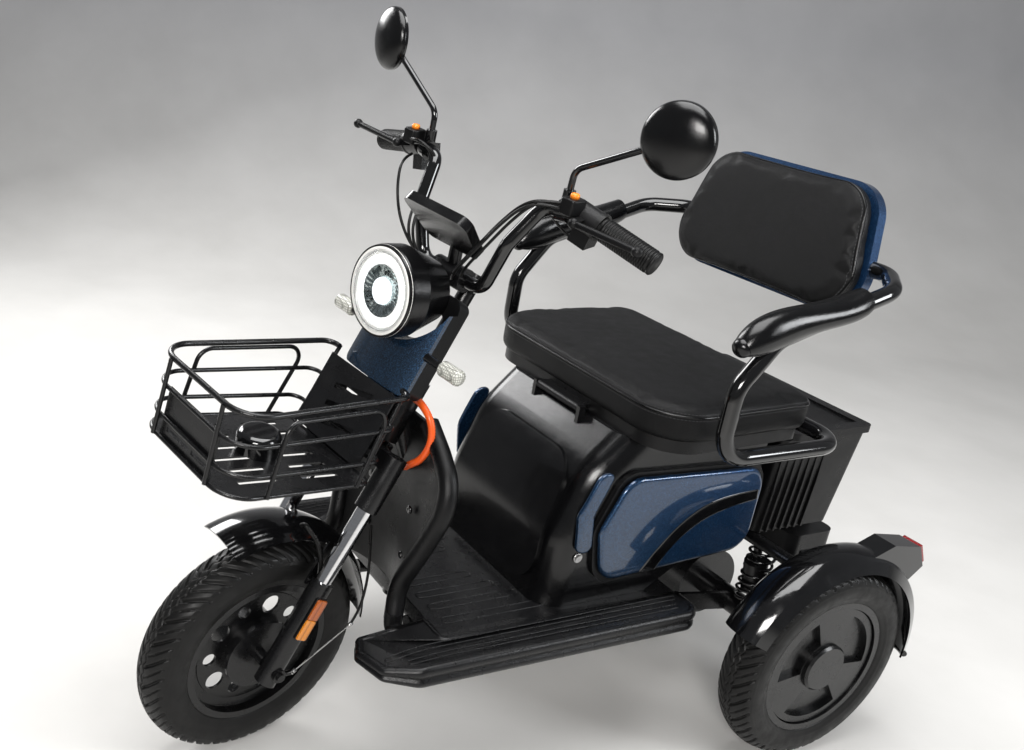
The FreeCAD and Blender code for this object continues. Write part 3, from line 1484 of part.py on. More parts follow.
def seat_box():
    """Moulded body under the seat, hollow for the battery and open at the top."""
    half = S.seat_box_half
    solid = seat_box_face().extrude(ACROSS * (half * 2))
    solid.translate(ACROSS * -half)
    front = [e for e in solid.Edges if abs(abs(e.CenterOfMass.x) - half) < S.soft_gap]
    front = [e for e in front if e.CenterOfMass.y < S.seat_box_top_y]
    front = [e for e in front if e.CenterOfMass.z > S.floor_height]
    solid = solid.makeFillet(S.seat_box_corner, front)
    wall = S.seat_box_wall
    low = S.floor_height + S.seat_box_floor_gauge
    cavity = slab(
        wall - half, half - wall, S.seat_box_top_y + wall, S.floor_rear_y - S.rail_bend, low, S.seat_box_top_height
    )
    rear_cavity = slab(
        wall - half, half - wall, S.floor_rear_y - S.rail_bend, S.seat_box_rear_y - wall,
        tail_height + S.seat_box_floor_gauge, S.seat_box_top_height,
    )
    piece("seat_box", solid.cut([cavity, rear_cavity]))
    battery_front = S.seat_box_top_y + wall + S.wheel_fit
    battery = block(
        "battery_block", "battery_width", "battery_length", "battery_height",
        Vector(-S.battery_width / 2, battery_front, low),
    )
    node("battery", battery)
    skin = seat_box_face(S.arch_gauge).extrude(ACROSS * (S.arch_half * 2))
    skin.translate(ACROSS * -S.arch_half)
    body = seat_box_face().extrude(ACROSS * (half * 2))
    body.translate(ACROSS * -half)
    arch = rounded_face(
        [
            Vector(-S.arch_half, 0, S.arch_low_height),
            Vector(S.arch_half, 0, S.arch_low_height),
            Vector(S.arch_half - S.arch_corner / 3, 0, arch_high),
            Vector(S.arch_corner / 3 - S.arch_half, 0, arch_high),
        ],
        S.arch_corner,
    ).extrude(BACK * (S.seat_box_top_y - S.seat_box_front_y + S.arch_corner))
    arch.translate(BACK * (S.seat_box_front_y - S.arch_corner))
    piece("front_cover", skin.cut(body).common(arch))


def side_outline(grow):
    """The side panel's rounded outline, grown by a margin."""
    front, rear = S.panel_front_y - grow, S.panel_rear_y + grow
    low, high = S.panel_low_height - grow, side_panel_high + grow
    lean = S.side_panel_corner / 2
    return rounded_face(
        [
            Vector(0, front + lean, low),
            Vector(0, front, (low + high) / 2),
            Vector(0, front + lean * 2, high),
            Vector(0, rear - lean, high - lean / 2),
            Vector(0, rear, high - lean * 2),
            Vector(0, rear, low + lean),
        ],
        S.side_panel_corner,
    )


def side_panels():
    """Painted side panels on black borders, and a painted crescent ahead of each."""
    start = S.seat_box_half
    trim = side_outline(S.side_trim_margin).extrude(ACROSS * S.side_trim_gauge)
    trim.translate(ACROSS * start)
    panel = side_outline(0).extrude(ACROSS * S.side_panel_gauge)
    panel.translate(ACROSS * (start + S.side_trim_gauge))
    outer = start + S.side_trim_gauge + S.side_panel_gauge
    rim = [e for e in panel.Edges if e.CenterOfMass.x > outer - S.soft_gap]
    panel = panel.makeChamfer(S.side_panel_edge, rim)
    disc_low, disc_high = S.accent_low_height, accent_high
    middle = (disc_low + disc_high) / 2
    crescent = rounded_face(
        [
            Vector(0, S.accent_front_y + S.accent_width / 3, disc_low),
            Vector(0, S.accent_front_y, middle),
            Vector(0, S.accent_front_y + S.accent_width, disc_high),
            Vector(0, S.accent_front_y + S.accent_width * 2, disc_high),
            Vector(0, S.accent_front_y + S.accent_width, middle),
            Vector(0, S.accent_front_y + S.accent_width * 1.4, disc_low),
        ],
        S.accent_width,
    ).extrude(ACROSS * S.side_trim_gauge)
    crescent.translate(ACROSS * start)
    crescent = crescent.cut(side_outline(S.side_trim_margin + S.soft_gap).extrude(ACROSS * (outer * 2)))
    piece("side_panels", Part.Compound([panel, mirrored(panel)]))
    piece("side_trims", Part.Compound([trim, mirrored(trim)]))
    piece("side_accents", Part.Compound([crescent, mirrored(crescent)]))


# Seat, armrests and backrest


def cushion_face(inset, height):
    """The seat's tapered outline, drawn in by an inset."""
    front, rear = S.seat_half - inset, S.seat_rear_half - inset
    corners = [
        Vector(-front, S.seat_front_y + inset, height),
        Vector(front, S.seat_front_y + inset, height),
        Vector(rear, S.seat_rear_y - inset, height),
        Vector(-rear, S.seat_rear_y - inset, height),
    ]
    front_bend, rear_bend = S.seat_corner - inset, S.seat_rear_corner - inset
    return rounded_face(corners, [front_bend, front_bend, rear_bend, rear_bend])


def seat():
    """Cushion on a pan that hinges at its front edge on the seat box."""
    cushion = cushion_face(0, seat_low).extrude(UP * (seat_high - seat_low))
    rims = [e for e in cushion.Edges if abs(e.CenterOfMass.z - seat_high) < S.soft_gap]
    piece("seat_cushion", cushion.makeFillet(S.seat_edge, rims))
    inset = S.seat_pan_inset
    high = seat_low - S.soft_gap
    low = S.seat_box_top_height + S.soft_gap
    pan = cushion_face(inset, low).extrude(UP * (high - low))
    hinge = Vector(0, S.hinge_y, hinge_height)
    half = S.hinge_half
    barrel = Part.makeCylinder(S.hinge_radius, half * 2, hinge - ACROSS * half, ACROSS)
    leaf = slab(-half, half, S.hinge_y, S.seat_front_y + inset * 2, hinge_height, hinge_height + S.hinge_radius)
    leaf = leaf.common(slab(-half, half, S.hinge_y, S.seat_front_y + inset * 2, 0, high))
    bore = Part.makeCylinder(S.hinge_pin_radius + S.bearing_fit, half * 2, hinge - ACROSS * half, ACROSS)
    piece("seat_pan", join([pan, barrel, leaf]).cut(bore))
    ear = S.hinge_ear_width
    ears = []
    for side in BOTH_SIDES:
        start = side * (half + S.wheel_fit)
        ear_x = min(start, start + side * ear)
        plate = slab(ear_x, ear_x + ear, S.hinge_y - S.hinge_radius, S.hinge_y + S.hinge_radius, seat_box_shoulder, hinge_height + S.hinge_radius)
        ears.append(plate)
    reach = half + S.wheel_fit + ear
    pin = Part.makeCylinder(S.hinge_pin_radius, reach * 2, hinge - ACROSS * reach, ACROSS)
    body = seat_box_face().extrude(ACROSS * (S.seat_box_half * 2))
    body.translate(ACROSS * -S.seat_box_half)
    cover = nodes["front_cover"].Shape
    piece("seat_hinge", join([pin] + [item.cut(body) for item in ears]).cut(cover))


hinge_height = S.seat_box_top_height + S.hinge_radius


def arm_points():
    """The closed centre line of the tube round the seat, arms and back."""
    half = S.arm_half
    side = [
        Vector(half, S.arm_low_rear_y, arm_low),
        Vector(half, S.arm_post_y, arm_low),
        Vector(half, S.arm_post_y, S.arm_post_height),
        Vector(half, S.arm_shoulder_y, S.arm_shoulder_height),
        Vector(half, S.arm_rear_y, S.arm_rear_height),
        Vector(half - S.arm_back_inset, S.arm_back_y, S.arm_back_height),
    ]
    return side + [Vector(-p.x, p.y, p.z) for p in reversed(side)]


def armrests():
    """One closed tube that forms both arms, and the moulded pads on them."""
    loop = ring_tube(arm_points(), S.arm_radius, S.arm_bend)
    stays = []
    for side in BOTH_SIDES:
        middle = side * S.rail_rear_half
        stays.append(slab(
            middle - S.rail_radius, middle + S.rail_radius, S.arm_stay_y - S.rail_radius, S.arm_stay_y + S.rail_radius,
            S.rail_rear_height + S.rail_radius + S.soft_gap, arm_low,
        ))
    piece("armrest_frame", join([loop] + stays))
    core = ring_tube(arm_points(), S.arm_radius + S.soft_gap, S.arm_bend)
    pad = max(pad_shape().cut(core).Solids, key=lambda solid: solid.Volume)
    piece("armrest_pads", Part.Compound([pad, mirrored(pad)]))


def pad_shape():
    """The left armrest's pad: a bulb at the front that thins toward the rear."""
    nose = Vector(S.arm_half, S.pad_nose_y, S.pad_nose_height)
    bulb = Vector(S.arm_half, S.pad_bulb_y, S.pad_bulb_height)
    swell = Vector(S.arm_half, S.pad_swell_y, S.pad_swell_height)
    waist = Vector(S.arm_half, S.pad_waist_y, S.pad_waist_height)
    rear = Vector(S.arm_half, S.pad_rear_y, S.pad_rear_height)
    return Part.makeLoft(
        [
            oval(nose, bulb - nose, S.pad_nose_width, S.pad_nose_gauge),
            oval(bulb, swell - nose, S.pad_width, S.pad_bulb_gauge),
            oval(swell, waist - bulb, S.pad_width, S.pad_bulb_gauge),
            oval(waist, rear - swell, S.pad_width, S.pad_waist_gauge),
            oval(rear, rear - waist, S.pad_rear_width, S.pad_rear_gauge),
        ],
        True,
        False,
    )


def oval(centre, run, width, gauge):
    """A closed oval wire square to a run that lies in the side plane."""
    lift = Vector(0, -run.z, run.y).normalize()
    points = []
    for index in range(oval_points):
        angle = 2 * math.pi * index / oval_points
        across = ACROSS * (width / 2 * math.cos(angle))
        points.append(centre + across + lift * (gauge / 2 * math.sin(angle)))
    curve = Part.BSplineCurve()
    curve.interpolate(points, PeriodicFlag=True)
    return Part.Wire(curve.toShape())


oval_points = 12


def backrest():
    """Backrest cushion on a moulded shell that the arm tube carries."""
    low, high = S.back_low_half, S.back_high_half

    def plate(grow, gauge, corner):
        face = rounded_face(
            [
                Vector(-low - grow, 0, -grow),
                Vector(low + grow, 0, -grow),
                Vector(high + grow, 0, S.back_height + grow),
                Vector(-high - grow, 0, S.back_height + grow),
            ],
            corner,
        )
        return face.extrude(BACK * gauge)

    cushion = plate(0, S.back_gauge, S.back_corner)
    rims = [e for e in cushion.Edges if e.CenterOfMass.y < S.soft_gap]
    cushion = cushion.makeFillet(S.back_edge, rims)
    shell = plate(-S.back_shell_inset, S.back_shell_gauge, S.back_corner - S.back_shell_inset)
    shell.translate(BACK * (S.back_gauge + S.soft_gap))
    lean = Placement(Vector(0, S.back_low_y, S.back_low_height), Rotation(ACROSS, -S.back_lean_angle))
    for name, shape in (("backrest_cushion", cushion), ("backrest_shell", shell)):
        shape.Placement = lean.multiply(shape.Placement)
        if name == "backrest_shell":
            shape = shape.cut(ring_tube(arm_points(), S.arm_radius + S.soft_gap, S.arm_bend))
        piece(name, shape)


# Rear end


def rear_end():
    """Axle tube, motor and swing arms as one, two shocks between axle and frame."""
    half = S.rear_track / 2 - S.rim_width / 2
    tube_half = half - S.rim_gauge
    housing = Part.makeCylinder(S.axle_radius, tube_half * 2, rear_axle - ACROSS * tube_half, ACROSS)
    reach = S.rear_track / 2 + S.rim_width / 4
    stub = Part.makeCylinder(S.axle_stub_radius, reach * 2, rear_axle - ACROSS * reach, ACROSS)
    motor = Part.makeCylinder(S.motor_radius, S.motor_width, rear_axle - ACROSS * (S.motor_width / 2), ACROSS)
    pivot = Vector(0, S.arm_pivot_y, rail_height - S.rail_radius - S.axle_stub_radius - S.wheel_fit)
    arm_x = S.rail_half + S.rail_radius * 4
    cross = Part.makeCylinder(S.axle_stub_radius, arm_x * 2, pivot - ACROSS * arm_x, ACROSS)
    shapes = [housing, stub, motor, cross]
    for side in BOTH_SIDES:
        run = rear_axle - pivot
        plate = slab(-S.arm_plate_gauge / 2, S.arm_plate_gauge / 2, 0, run.Length, -S.arm_plate_height / 2, S.arm_plate_height / 2)
        plate.rotate(ORIGIN, ACROSS, math.degrees(math.atan2(run.z, run.y)))
        plate.translate(pivot + ACROSS * (side * (arm_x - S.arm_plate_gauge / 2)))
        shapes.append(plate)
    piece("rear_axle", join(shapes))
    shocks = []
    for side in BOTH_SIDES:
        low = rear_axle + ACROSS * (side * S.shock_half)
        high = Vector(low.x, cross_y, S.rail_rear_height)
        run = (high - low).normalize()
        start = low + run * (S.axle_radius + S.soft_gap)
        end = high - run * (S.rail_cross_radius + S.soft_gap)
        length = (end - start).Length
        rod_shape = bar(start, end, S.shock_rod_radius)
        spring = Part.makeCylinder(S.shock_radius, length / 2, start + run * (length / 4), run)
        shocks.append(rod_shape.fuse(spring))
    housing_cut = Part.makeCylinder(S.axle_radius + S.soft_gap, tube_half * 2, rear_axle - ACROSS * tube_half, ACROSS)
    cross_cut = Part.makeCylinder(
        S.rail_cross_radius + S.soft_gap, S.rear_track, Vector(-S.rear_track / 2, cross_y, S.rail_rear_height), ACROSS
    )
    piece("rear_shocks", Part.Compound([item.cut([housing_cut, cross_cut]) for item in shocks]))


def fender_section():
    """Section of a rear fender as X and radius about the axle."""
    gauge = S.fender_rear_gauge
    shoulder = Vector(S.fender_shoulder_half, S.fender_shoulder_radius, 0)
    lip = Vector(S.fender_outer_half, S.fender_lip_radius, 0)
    inner = Vector(S.fender_inner_half, S.fender_inner_radius, 0)
    crown = Vector(S.fender_crown_half, S.fender_crown_radius, 0)
    inward = Vector(-gauge, 0, 0)
    drop = Vector(0, -gauge, 0)
    shoulder_in = shoulder + inward + drop
    lip_in = lip + inward
    edges = [
        Part.Arc(inner, crown, shoulder).toShape(),
        Part.LineSegment(shoulder, lip).toShape(),
        Part.LineSegment(lip, lip_in).toShape(),
        Part.LineSegment(lip_in, shoulder_in).toShape(),
        Part.Arc(shoulder_in, crown + drop, inner + drop).toShape(),
        Part.LineSegment(inner + drop, inner).toShape(),
    ]
    return Part.Face(Part.Wire(Part.__sortEdges__(edges)))


def rear_fenders():
    """Glossy guards on stays, each with a lamp housing on its rear top."""
    section = fender_section()
    section.rotate(ORIGIN, ACROSS, S.fender_rear_start_angle)
    guard = section.revolve(ORIGIN, ACROSS, S.fender_rear_sweep_angle)
    inner = Vector(S.fender_inner_half, S.fender_inner_radius, 0)
    crown = Vector(S.fender_crown_half, S.fender_crown_radius, 0)
    shoulder = Vector(S.fender_shoulder_half, S.fender_shoulder_radius, 0)
    arc = Part.Arc(inner, crown, shoulder).toShape()
    ring = Part.makeCircle(S.fender_rear_roll, inner, arc.tangentAt(arc.FirstParameter))
    roll = Part.Wire([arc]).makePipeShell([Part.Wire(ring)], True, False)
    roll.rotate(ORIGIN, ACROSS, S.fender_rear_start_angle)
    guard = guard.fuse(roll)
    guard.translate(rear_axle)
    lens_high = Vector(0, S.tail_lens_high_y, S.tail_lens_high_height)
    lens_low = Vector(0, S.tail_lens_low_y, S.tail_lens_low_height)
    foot = Vector(0, S.tail_lamp_foot_y, S.tail_lamp_foot_height)
    nose = Vector(0, S.tail_lamp_nose_y, S.tail_lamp_nose_height)
    top = Vector(0, S.tail_lamp_top_y, S.tail_lamp_top_height)
    low_radius = S.fender_shoulder_radius
    housing = polygon_face([foot, lens_low, lens_high, top, nose]).extrude(ACROSS * S.tail_lamp_width)
    housing.translate(ACROSS * (S.tail_lamp_half - S.tail_lamp_width / 2))
    under = Part.makeCylinder(low_radius, S.rear_track, rear_axle, ACROSS)
    housing = housing.cut(under)
    lens_run = lens_high - lens_low
    outward = ACROSS.cross(lens_run).normalize()
    if outward.y < 0:
        outward = outward * -1
    margin = lens_run.normalize() * S.tail_lens_margin
    lens = polygon_face([
        lens_low + margin,
        lens_high - margin,
        lens_high - margin + outward * S.tail_lens_gauge,
        lens_low + margin + outward * S.tail_lens_gauge,
    ]).extrude(ACROSS * (S.tail_lamp_width - S.tail_lens_margin * 2))
    lens.translate(ACROSS * (S.tail_lamp_half - S.tail_lamp_width / 2 + S.tail_lens_margin))
    stay_low = S.rail_rear_height - S.rail_radius
    stay_high = S.rear_tyre_radius + S.fender_inner_radius - S.fender_rear_gauge / 2
    stay = slab(
        S.fender_inner_half - stay_gauge, S.fender_inner_half + stay_gauge / 2, cross_y - S.rail_radius,
        cross_y + S.rail_radius, stay_high - stay_gauge, stay_high,
    )
    post = slab(
        S.fender_inner_half - stay_gauge, S.fender_inner_half, cross_y - S.rail_radius, cross_y + S.rail_radius,
        stay_low, stay_high,
    )
    shape = join([guard, housing, stay, post])
    piece("rear_fenders", Part.Compound([shape, mirrored(shape)]))
    piece("tail_lamps", Part.Compound([lens, mirrored(lens)]))


def rear_box():
    """Tapered storage box behind the backrest, with a lid hinged at the front."""
    low = S.rail_rear_height + S.rail_radius + S.soft_gap
    high = S.box_high_height

    def tub(wall, base):
        inset = S.box_low_inset + wall
        half = S.box_half - wall
        bottom = [
            Vector(inset - S.box_half, S.box_front_y + wall, base),
            Vector(S.box_half - inset, S.box_front_y + wall, base),
            Vector(S.box_half - inset, S.box_rear_y - wall, base),
            Vector(inset - S.box_half, S.box_rear_y - wall, base),
        ]
        rear = S.box_rear_y + S.box_rear_rake - wall
        top = [
            Vector(-half, S.box_front_y + wall, high),
            Vector(half, S.box_front_y + wall, high),
            Vector(half, rear, high),
            Vector(-half, rear, high),
        ]
        wires = [Part.Wire(rounded_path(ring, S.lid_corner, closed=True)) for ring in (bottom, top)]
        return Part.makeLoft(wires, True, True)

    walls = tub(0, low).cut(tub(S.box_wall, low + S.box_wall))
    strip = slab(
        S.box_wall - S.box_half, S.box_half - S.box_wall, S.box_front_y + S.box_wall,
        S.box_front_y + S.lid_strip, high - S.box_wall, high,
    )
    ribs = []
    rib_count = 7
    rib_half = S.box_wall / 2
    length = S.box_rear_y - S.box_front_y
    for side in BOTH_SIDES:
        for index in range(rib_count):
            y = S.box_front_y + length * rib_zone_share * (index + 0.5) / rib_count
            rib = slab(0, S.box_half - S.box_low_inset / 2 + S.box_wall, y - rib_half, y + rib_half, low, high - S.lid_corner)
            ribs.append(rib if side > 0 else mirrored(rib))
    outer = tub(-S.box_wall, low)
    inner = tub(0, low)
    ribs = [rib.common(outer).cut(inner) for rib in ribs]
    piece("rear_box", join([walls, strip] + ribs))
    over = S.lid_overhang
    lid_low = high + S.soft_gap
    front = S.box_front_y + S.lid_strip + S.lid_gap
    rear = S.box_rear_y + S.box_rear_rake + over
    half = S.box_half + over
    face = rounded_face(
        [Vector(-half, front, lid_low), Vector(half, front, lid_low), Vector(half, rear, lid_low), Vector(-half, rear, lid_low)],
        S.lid_corner,
    )
    lid = face.extrude(UP * S.lid_gauge)
    margin = S.lid_recess_margin
    recess = slab(margin - half, half - margin, front + margin, rear - margin, lid_low + S.lid_gauge - S.lid_recess, lid_low + S.lid_gauge)
    piece("box_lid", lid.cut(recess))
    cover_high = S.rail_rear_height - S.rail_radius - S.soft_gap
    cover = slab(
        -S.lower_cover_half, S.lower_cover_half, S.lower_cover_front_y, S.lower_cover_rear_y,
        S.lower_cover_low_height, cover_high,
    )
    cover = cover.makeFillet(S.lower_cover_edge, edges_along(cover, UP))
    piece("lower_cover", cover)


rib_zone_share = 0.66


def check_and_export():
    """Every feature is up to date and every sub-part is one valid solid or more."""
    doc.recompute()
    for item in doc.Objects:
        if "Invalid" in item.State or "Error" in item.State:
            raise RuntimeError(f"{item.Name} is {item.State}")
    os.makedirs("parts", exist_ok=True)
    for name, item in nodes.items():
        shape = item.Shape
        if shape.isNull() or not shape.isValid() or not shape.Solids:
            raise RuntimeError(f"{name} has no valid shape")
        shape.exportStep(f"parts/{name}.step")
    print(len(nodes), "nodes")


front_wheel()
rear_wheels()
fork()
brake_plate()
handlebar()
mirrors()
headlight()
front_panel()
turn_signals()
display()
front_fender()
reflectors()
basket()
basket_bracket()
frame()
leg_shield()
footboard()
seat_box()
side_panels()
seat()
armrests()
backrest()
rear_end()
rear_fenders()
rear_box()
check_and_export()
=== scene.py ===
from math import atan2, copysign, cos, hypot, pi, radians, sin, tan

import bmesh
import bpy
from mathutils import Matrix, Quaternion, Vector
from mathutils.bvhtree import BVHTree


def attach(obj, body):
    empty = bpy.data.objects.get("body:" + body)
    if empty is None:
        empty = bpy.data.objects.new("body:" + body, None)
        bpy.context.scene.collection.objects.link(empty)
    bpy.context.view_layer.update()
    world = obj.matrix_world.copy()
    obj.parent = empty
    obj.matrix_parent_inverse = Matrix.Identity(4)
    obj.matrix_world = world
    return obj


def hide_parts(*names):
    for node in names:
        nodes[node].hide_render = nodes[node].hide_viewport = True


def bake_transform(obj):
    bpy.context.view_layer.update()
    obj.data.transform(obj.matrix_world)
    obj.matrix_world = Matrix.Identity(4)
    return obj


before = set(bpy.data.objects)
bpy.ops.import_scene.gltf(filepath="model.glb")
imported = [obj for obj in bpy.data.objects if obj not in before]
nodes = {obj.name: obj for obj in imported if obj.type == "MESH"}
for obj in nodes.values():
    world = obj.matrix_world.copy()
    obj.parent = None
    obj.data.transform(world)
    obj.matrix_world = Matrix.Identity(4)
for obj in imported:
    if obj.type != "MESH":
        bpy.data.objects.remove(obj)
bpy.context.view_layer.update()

for name in ("Cube", "Light", "Camera"):
    if name in bpy.data.objects:
        bpy.data.objects.remove(bpy.data.objects[name])
scene = bpy.context.scene

# Places shared with the part's source, in metres.
REST = radians(12.2)
RAKE = radians(26.25)
FOOT = Vector((0, -0.579, 0))
STEER_UP = Vector((0, sin(RAKE), cos(RAKE)))
STEER_AHEAD = Vector((0, -cos(RAKE), sin(RAKE)))
TURN = Quaternion(STEER_UP, REST)
FRONT_AXLE = Vector((0, -0.516, 0.203))
REAR_AXLE = Vector((0, 0.46, 0.195))
REAR_HALF_TRACK = 0.34
SIDES = ((1, "left"), (-1, "right"))
ACROSS = Vector((1, 0, 0))


def steered(point):
    """A point given with the wheels straight, as it stands with the bars turned."""
    return TURN @ (Vector(point) - FOOT) + FOOT


def all_steered(points):
    return [steered(point) for point in points]


def at_fork(across, ahead, along):
    """A point by the steering axis, wheels straight."""
    return FOOT + Vector((across, 0, 0)) + STEER_AHEAD * ahead + STEER_UP * along


def new_object(name, data):
    item = bpy.data.objects.new(name, data)
    scene.collection.objects.link(item)
    return item


def mm(*rows):
    """Rows of millimetres as rows of metres."""
    return [tuple(value / 1000 for value in row) for row in rows]


# Camera, fitted to the photograph

CAMERA_PLACE = Vector((1.4153, -1.1521, 1.2913))
CAMERA_YAW, CAMERA_DROP, CAMERA_ROLL = (radians(angle) for angle in (62.57, 22.4, 6.37))


def make_camera():
    level = cos(CAMERA_DROP)
    forward = -Vector((sin(CAMERA_YAW) * level, -cos(CAMERA_YAW) * level, sin(CAMERA_DROP)))
    right = forward.cross(Vector((0, 0, 1))).normalized()
    up = right.cross(forward)
    c, s = cos(CAMERA_ROLL), sin(CAMERA_ROLL)
    right, up = right * c + up * s, up * c - right * s
    data = bpy.data.cameras.new("camera")
    data.sensor_width = 36
    data.lens = 38.12
    data.shift_x, data.shift_y = 0.1834, 0.0259
    data.clip_start, data.clip_end = 0.05, 50
    camera = new_object("camera", data)
    turn = Matrix((right, up, -forward)).transposed().to_4x4()
    camera.matrix_world = Matrix.Translation(CAMERA_PLACE) @ turn
    scene.camera = camera


make_camera()


# Materials


class Nodes:
    """Short calls for building one material's node tree."""

    def __init__(self, name):
        self.material = bpy.data.materials.new(name)
        self.material.use_nodes = True
        self.tree = self.material.node_tree
        self.tree.nodes.clear()
        self.shader = self.add("ShaderNodeBsdfPrincipled")
        self.add("ShaderNodeOutputMaterial", {"Surface": self.shader.outputs[0]})
        self.coords = self.add("ShaderNodeTexCoord").outputs["Object"]

    def add(self, kind, values=None, **settings):
        node = self.tree.nodes.new(kind)
        for key, value in settings.items():
            setattr(node, key, value)
        for key, value in (values or {}).items():
            self.feed(node.inputs[key], value)
        return node

    def feed(self, socket, value):
        """Sets a socket to a number, a colour or a vector, or links another socket to it."""
        if isinstance(value, (int, float)):
            socket.default_value = value
        elif isinstance(value, tuple):
            socket.default_value = (*value, 1)[: len(socket.default_value)]
        elif value is not None:
            self.tree.links.new(value, socket)

    def put(self, **values):
        for key, value in values.items():
            self.feed(self.shader.inputs[key.replace("_", " ")], value)

    def split(self, vector):
        return self.add("ShaderNodeSeparateXYZ", {0: vector}).outputs

    def scaled(self, scale):
        return self.add("ShaderNodeMapping", {"Scale": scale, "Vector": self.coords}).outputs[0]

    def noise(self, scale, detail=4.0, rough=0.55, vector=None, distortion=0.0):
        values = {"Scale": scale, "Detail": detail, "Roughness": rough, "Distortion": distortion}
        return self.add("ShaderNodeTexNoise", {**values, "Vector": vector or self.coords}).outputs["Fac"]

    def cells(self, scale, feature="F1", output="Distance", randomness=1.0):
        values = {"Scale": scale, "Randomness": randomness, "Vector": self.coords}
        return self.add("ShaderNodeTexVoronoi", values, feature=feature).outputs[output]

    def ramp(self, value, low, high, a=0.3, b=0.7):
        node = self.add("ShaderNodeValToRGB", {0: value})
        first, last = node.color_ramp.elements
        first.position, last.position = a, b
        first.color, last.color = (*low, 1), (*high, 1)
        return node.outputs[0]

    def span(self, value, low, high, a=0.0, b=1.0):
        values = {"Value": value, "From Min": a, "From Max": b, "To Min": low, "To Max": high}
        return self.add("ShaderNodeMapRange", values).outputs[0]

    def math(self, operation, a, b):
        return self.add("ShaderNodeMath", {0: a, 1: b}, operation=operation).outputs[0]

    def mix(self, factor, a, b):
        return self.add("ShaderNodeMix", {0: factor, 6: a, 7: b}, data_type="RGBA").outputs[2]

    def wear(self, most):
        """How worn the mesh's convex edges are, by their pointiness."""
        geometry = self.add("ShaderNodeNewGeometry").outputs["Pointiness"]
        return self.math("MULTIPLY", self.span(geometry, 0, 1, 0.5, 0.62), self.span(self.noise(60), 0.0, most))

    def bump(self, height, strength, distance, below=None):
        values = {"Strength": strength, "Distance": distance, "Height": height, "Normal": below}
        return self.add("ShaderNodeBump", values).outputs[0]

    def done(self, color, roughness, normal):
        self.put(Base_Color=color, Roughness=roughness, Normal=normal)
        return self.material


DUST = (0.16, 0.155, 0.15)


def dusty(n, color, amount, level=0.35):
    """Dust that lies thicker on faces turned up, in soft patches."""
    normal = n.add("ShaderNodeNewGeometry").outputs["Normal"]
    up = n.span(n.split(normal)[2], 0, 1, 0.2, 1.0)
    patch = n.span(n.noise(9, 6), 0, amount, level, 0.8)
    return n.mix(n.math("MULTIPLY", up, patch), color, DUST)


def plastic(name, low, high, rough, grain, depth, coat=0.0, dust=0.03, smudge=0.08, shine=0.35, wave=0.0015):
    """Moulded or powder coated black, with a fine grain, dust, smudges and worn edges."""
    n = Nodes(name)
    color = n.ramp(n.noise(14, 6), low, high)
    color = dusty(n, color, dust)
    color = n.mix(n.wear(0.3), color, tuple(c * 2.5 + 0.006 for c in high))
    n.put(Coat_Weight=coat, Coat_Roughness=0.08, Specular_IOR_Level=shine)
    roughness = n.span(n.noise(22, 7, 0.6), rough - smudge, rough + smudge, 0.3, 0.7)
    fine = n.bump(n.cells(grain), 0.5, depth)
    return n.done(color, roughness, n.bump(n.noise(30, 2), 0.12, wave, fine))


def gloss(name, low, high, rough=0.12, wave=0.0004):
    n = Nodes(name)
    color = dusty(n, n.ramp(n.noise(10, 4), low, high), 0.012)
    n.put(Coat_Weight=0.5, Coat_Roughness=0.04, Specular_IOR_Level=0.45)
    roughness = n.span(n.noise(35, 8, 0.65), rough * 0.6, rough * 1.9, 0.35, 0.75)
    swirl = n.bump(n.noise(220, 3), 0.05, 0.0003)
    return n.done(color, roughness, n.bump(n.noise(9, 1), 0.25, wave, swirl))


def blue_paint():
    """Dark blue metallic paint with flakes under a clear coat, with a painted sheen: lighter to the top and rear."""
    n = Nodes("blue_paint")
    place = n.split(n.coords)
    # Painted sheen: a fixed gradient makes the paint lighter to the top and rear, in place of its shift with the angle
    # of light.
    painted_sheen_blend = n.math("ADD", n.math("MULTIPLY", place[1], 1.4), n.math("MULTIPLY", place[2], 0.9))
    shade = n.ramp(n.span(painted_sheen_blend, 0, 1, 0.1, 1.0), (0.004, 0.016, 0.035), (0.008, 0.035, 0.10), 0.1, 0.9)
    sparkle = n.add("ShaderNodeSeparateColor", {0: n.cells(1600, output="Color")}).outputs
    bright = n.math("GREATER_THAN", sparkle[0], 0.82)
    color = n.mix(n.math("MULTIPLY", bright, 0.5), shade, (0.05, 0.16, 0.34))
    n.put(Metallic=0.7, Coat_Weight=1.0, Coat_Roughness=0.04, Specular_IOR_Level=0.5)
    roughness = n.span(sparkle[1], 0.22, 0.42)
    peel = n.bump(n.noise(300, 2), 0.04, 0.0003)
    return n.done(color, roughness, n.bump(n.noise(7, 1), 0.2, 0.0006, peel))


def metal(name, low, high, rough, scratch=(1, 1, 1)):
    n = Nodes(name)
    n.put(Metallic=1.0)
    # On the lamp reflector this noise paints dark greenish reflections into the colour; on the other metals it gives
    # streaks.
    streaks_and_painted_reflections = n.noise(90, 8, 0.7, n.scaled(scratch))
    color = n.ramp(streaks_and_painted_reflections, low, high, 0.25, 0.75)
    roughness = n.span(n.noise(40, 6), rough * 0.6, rough * 1.5, 0.3, 0.7)
    return n.done(color, roughness, n.bump(streaks_and_painted_reflections, 0.15, 0.0002))


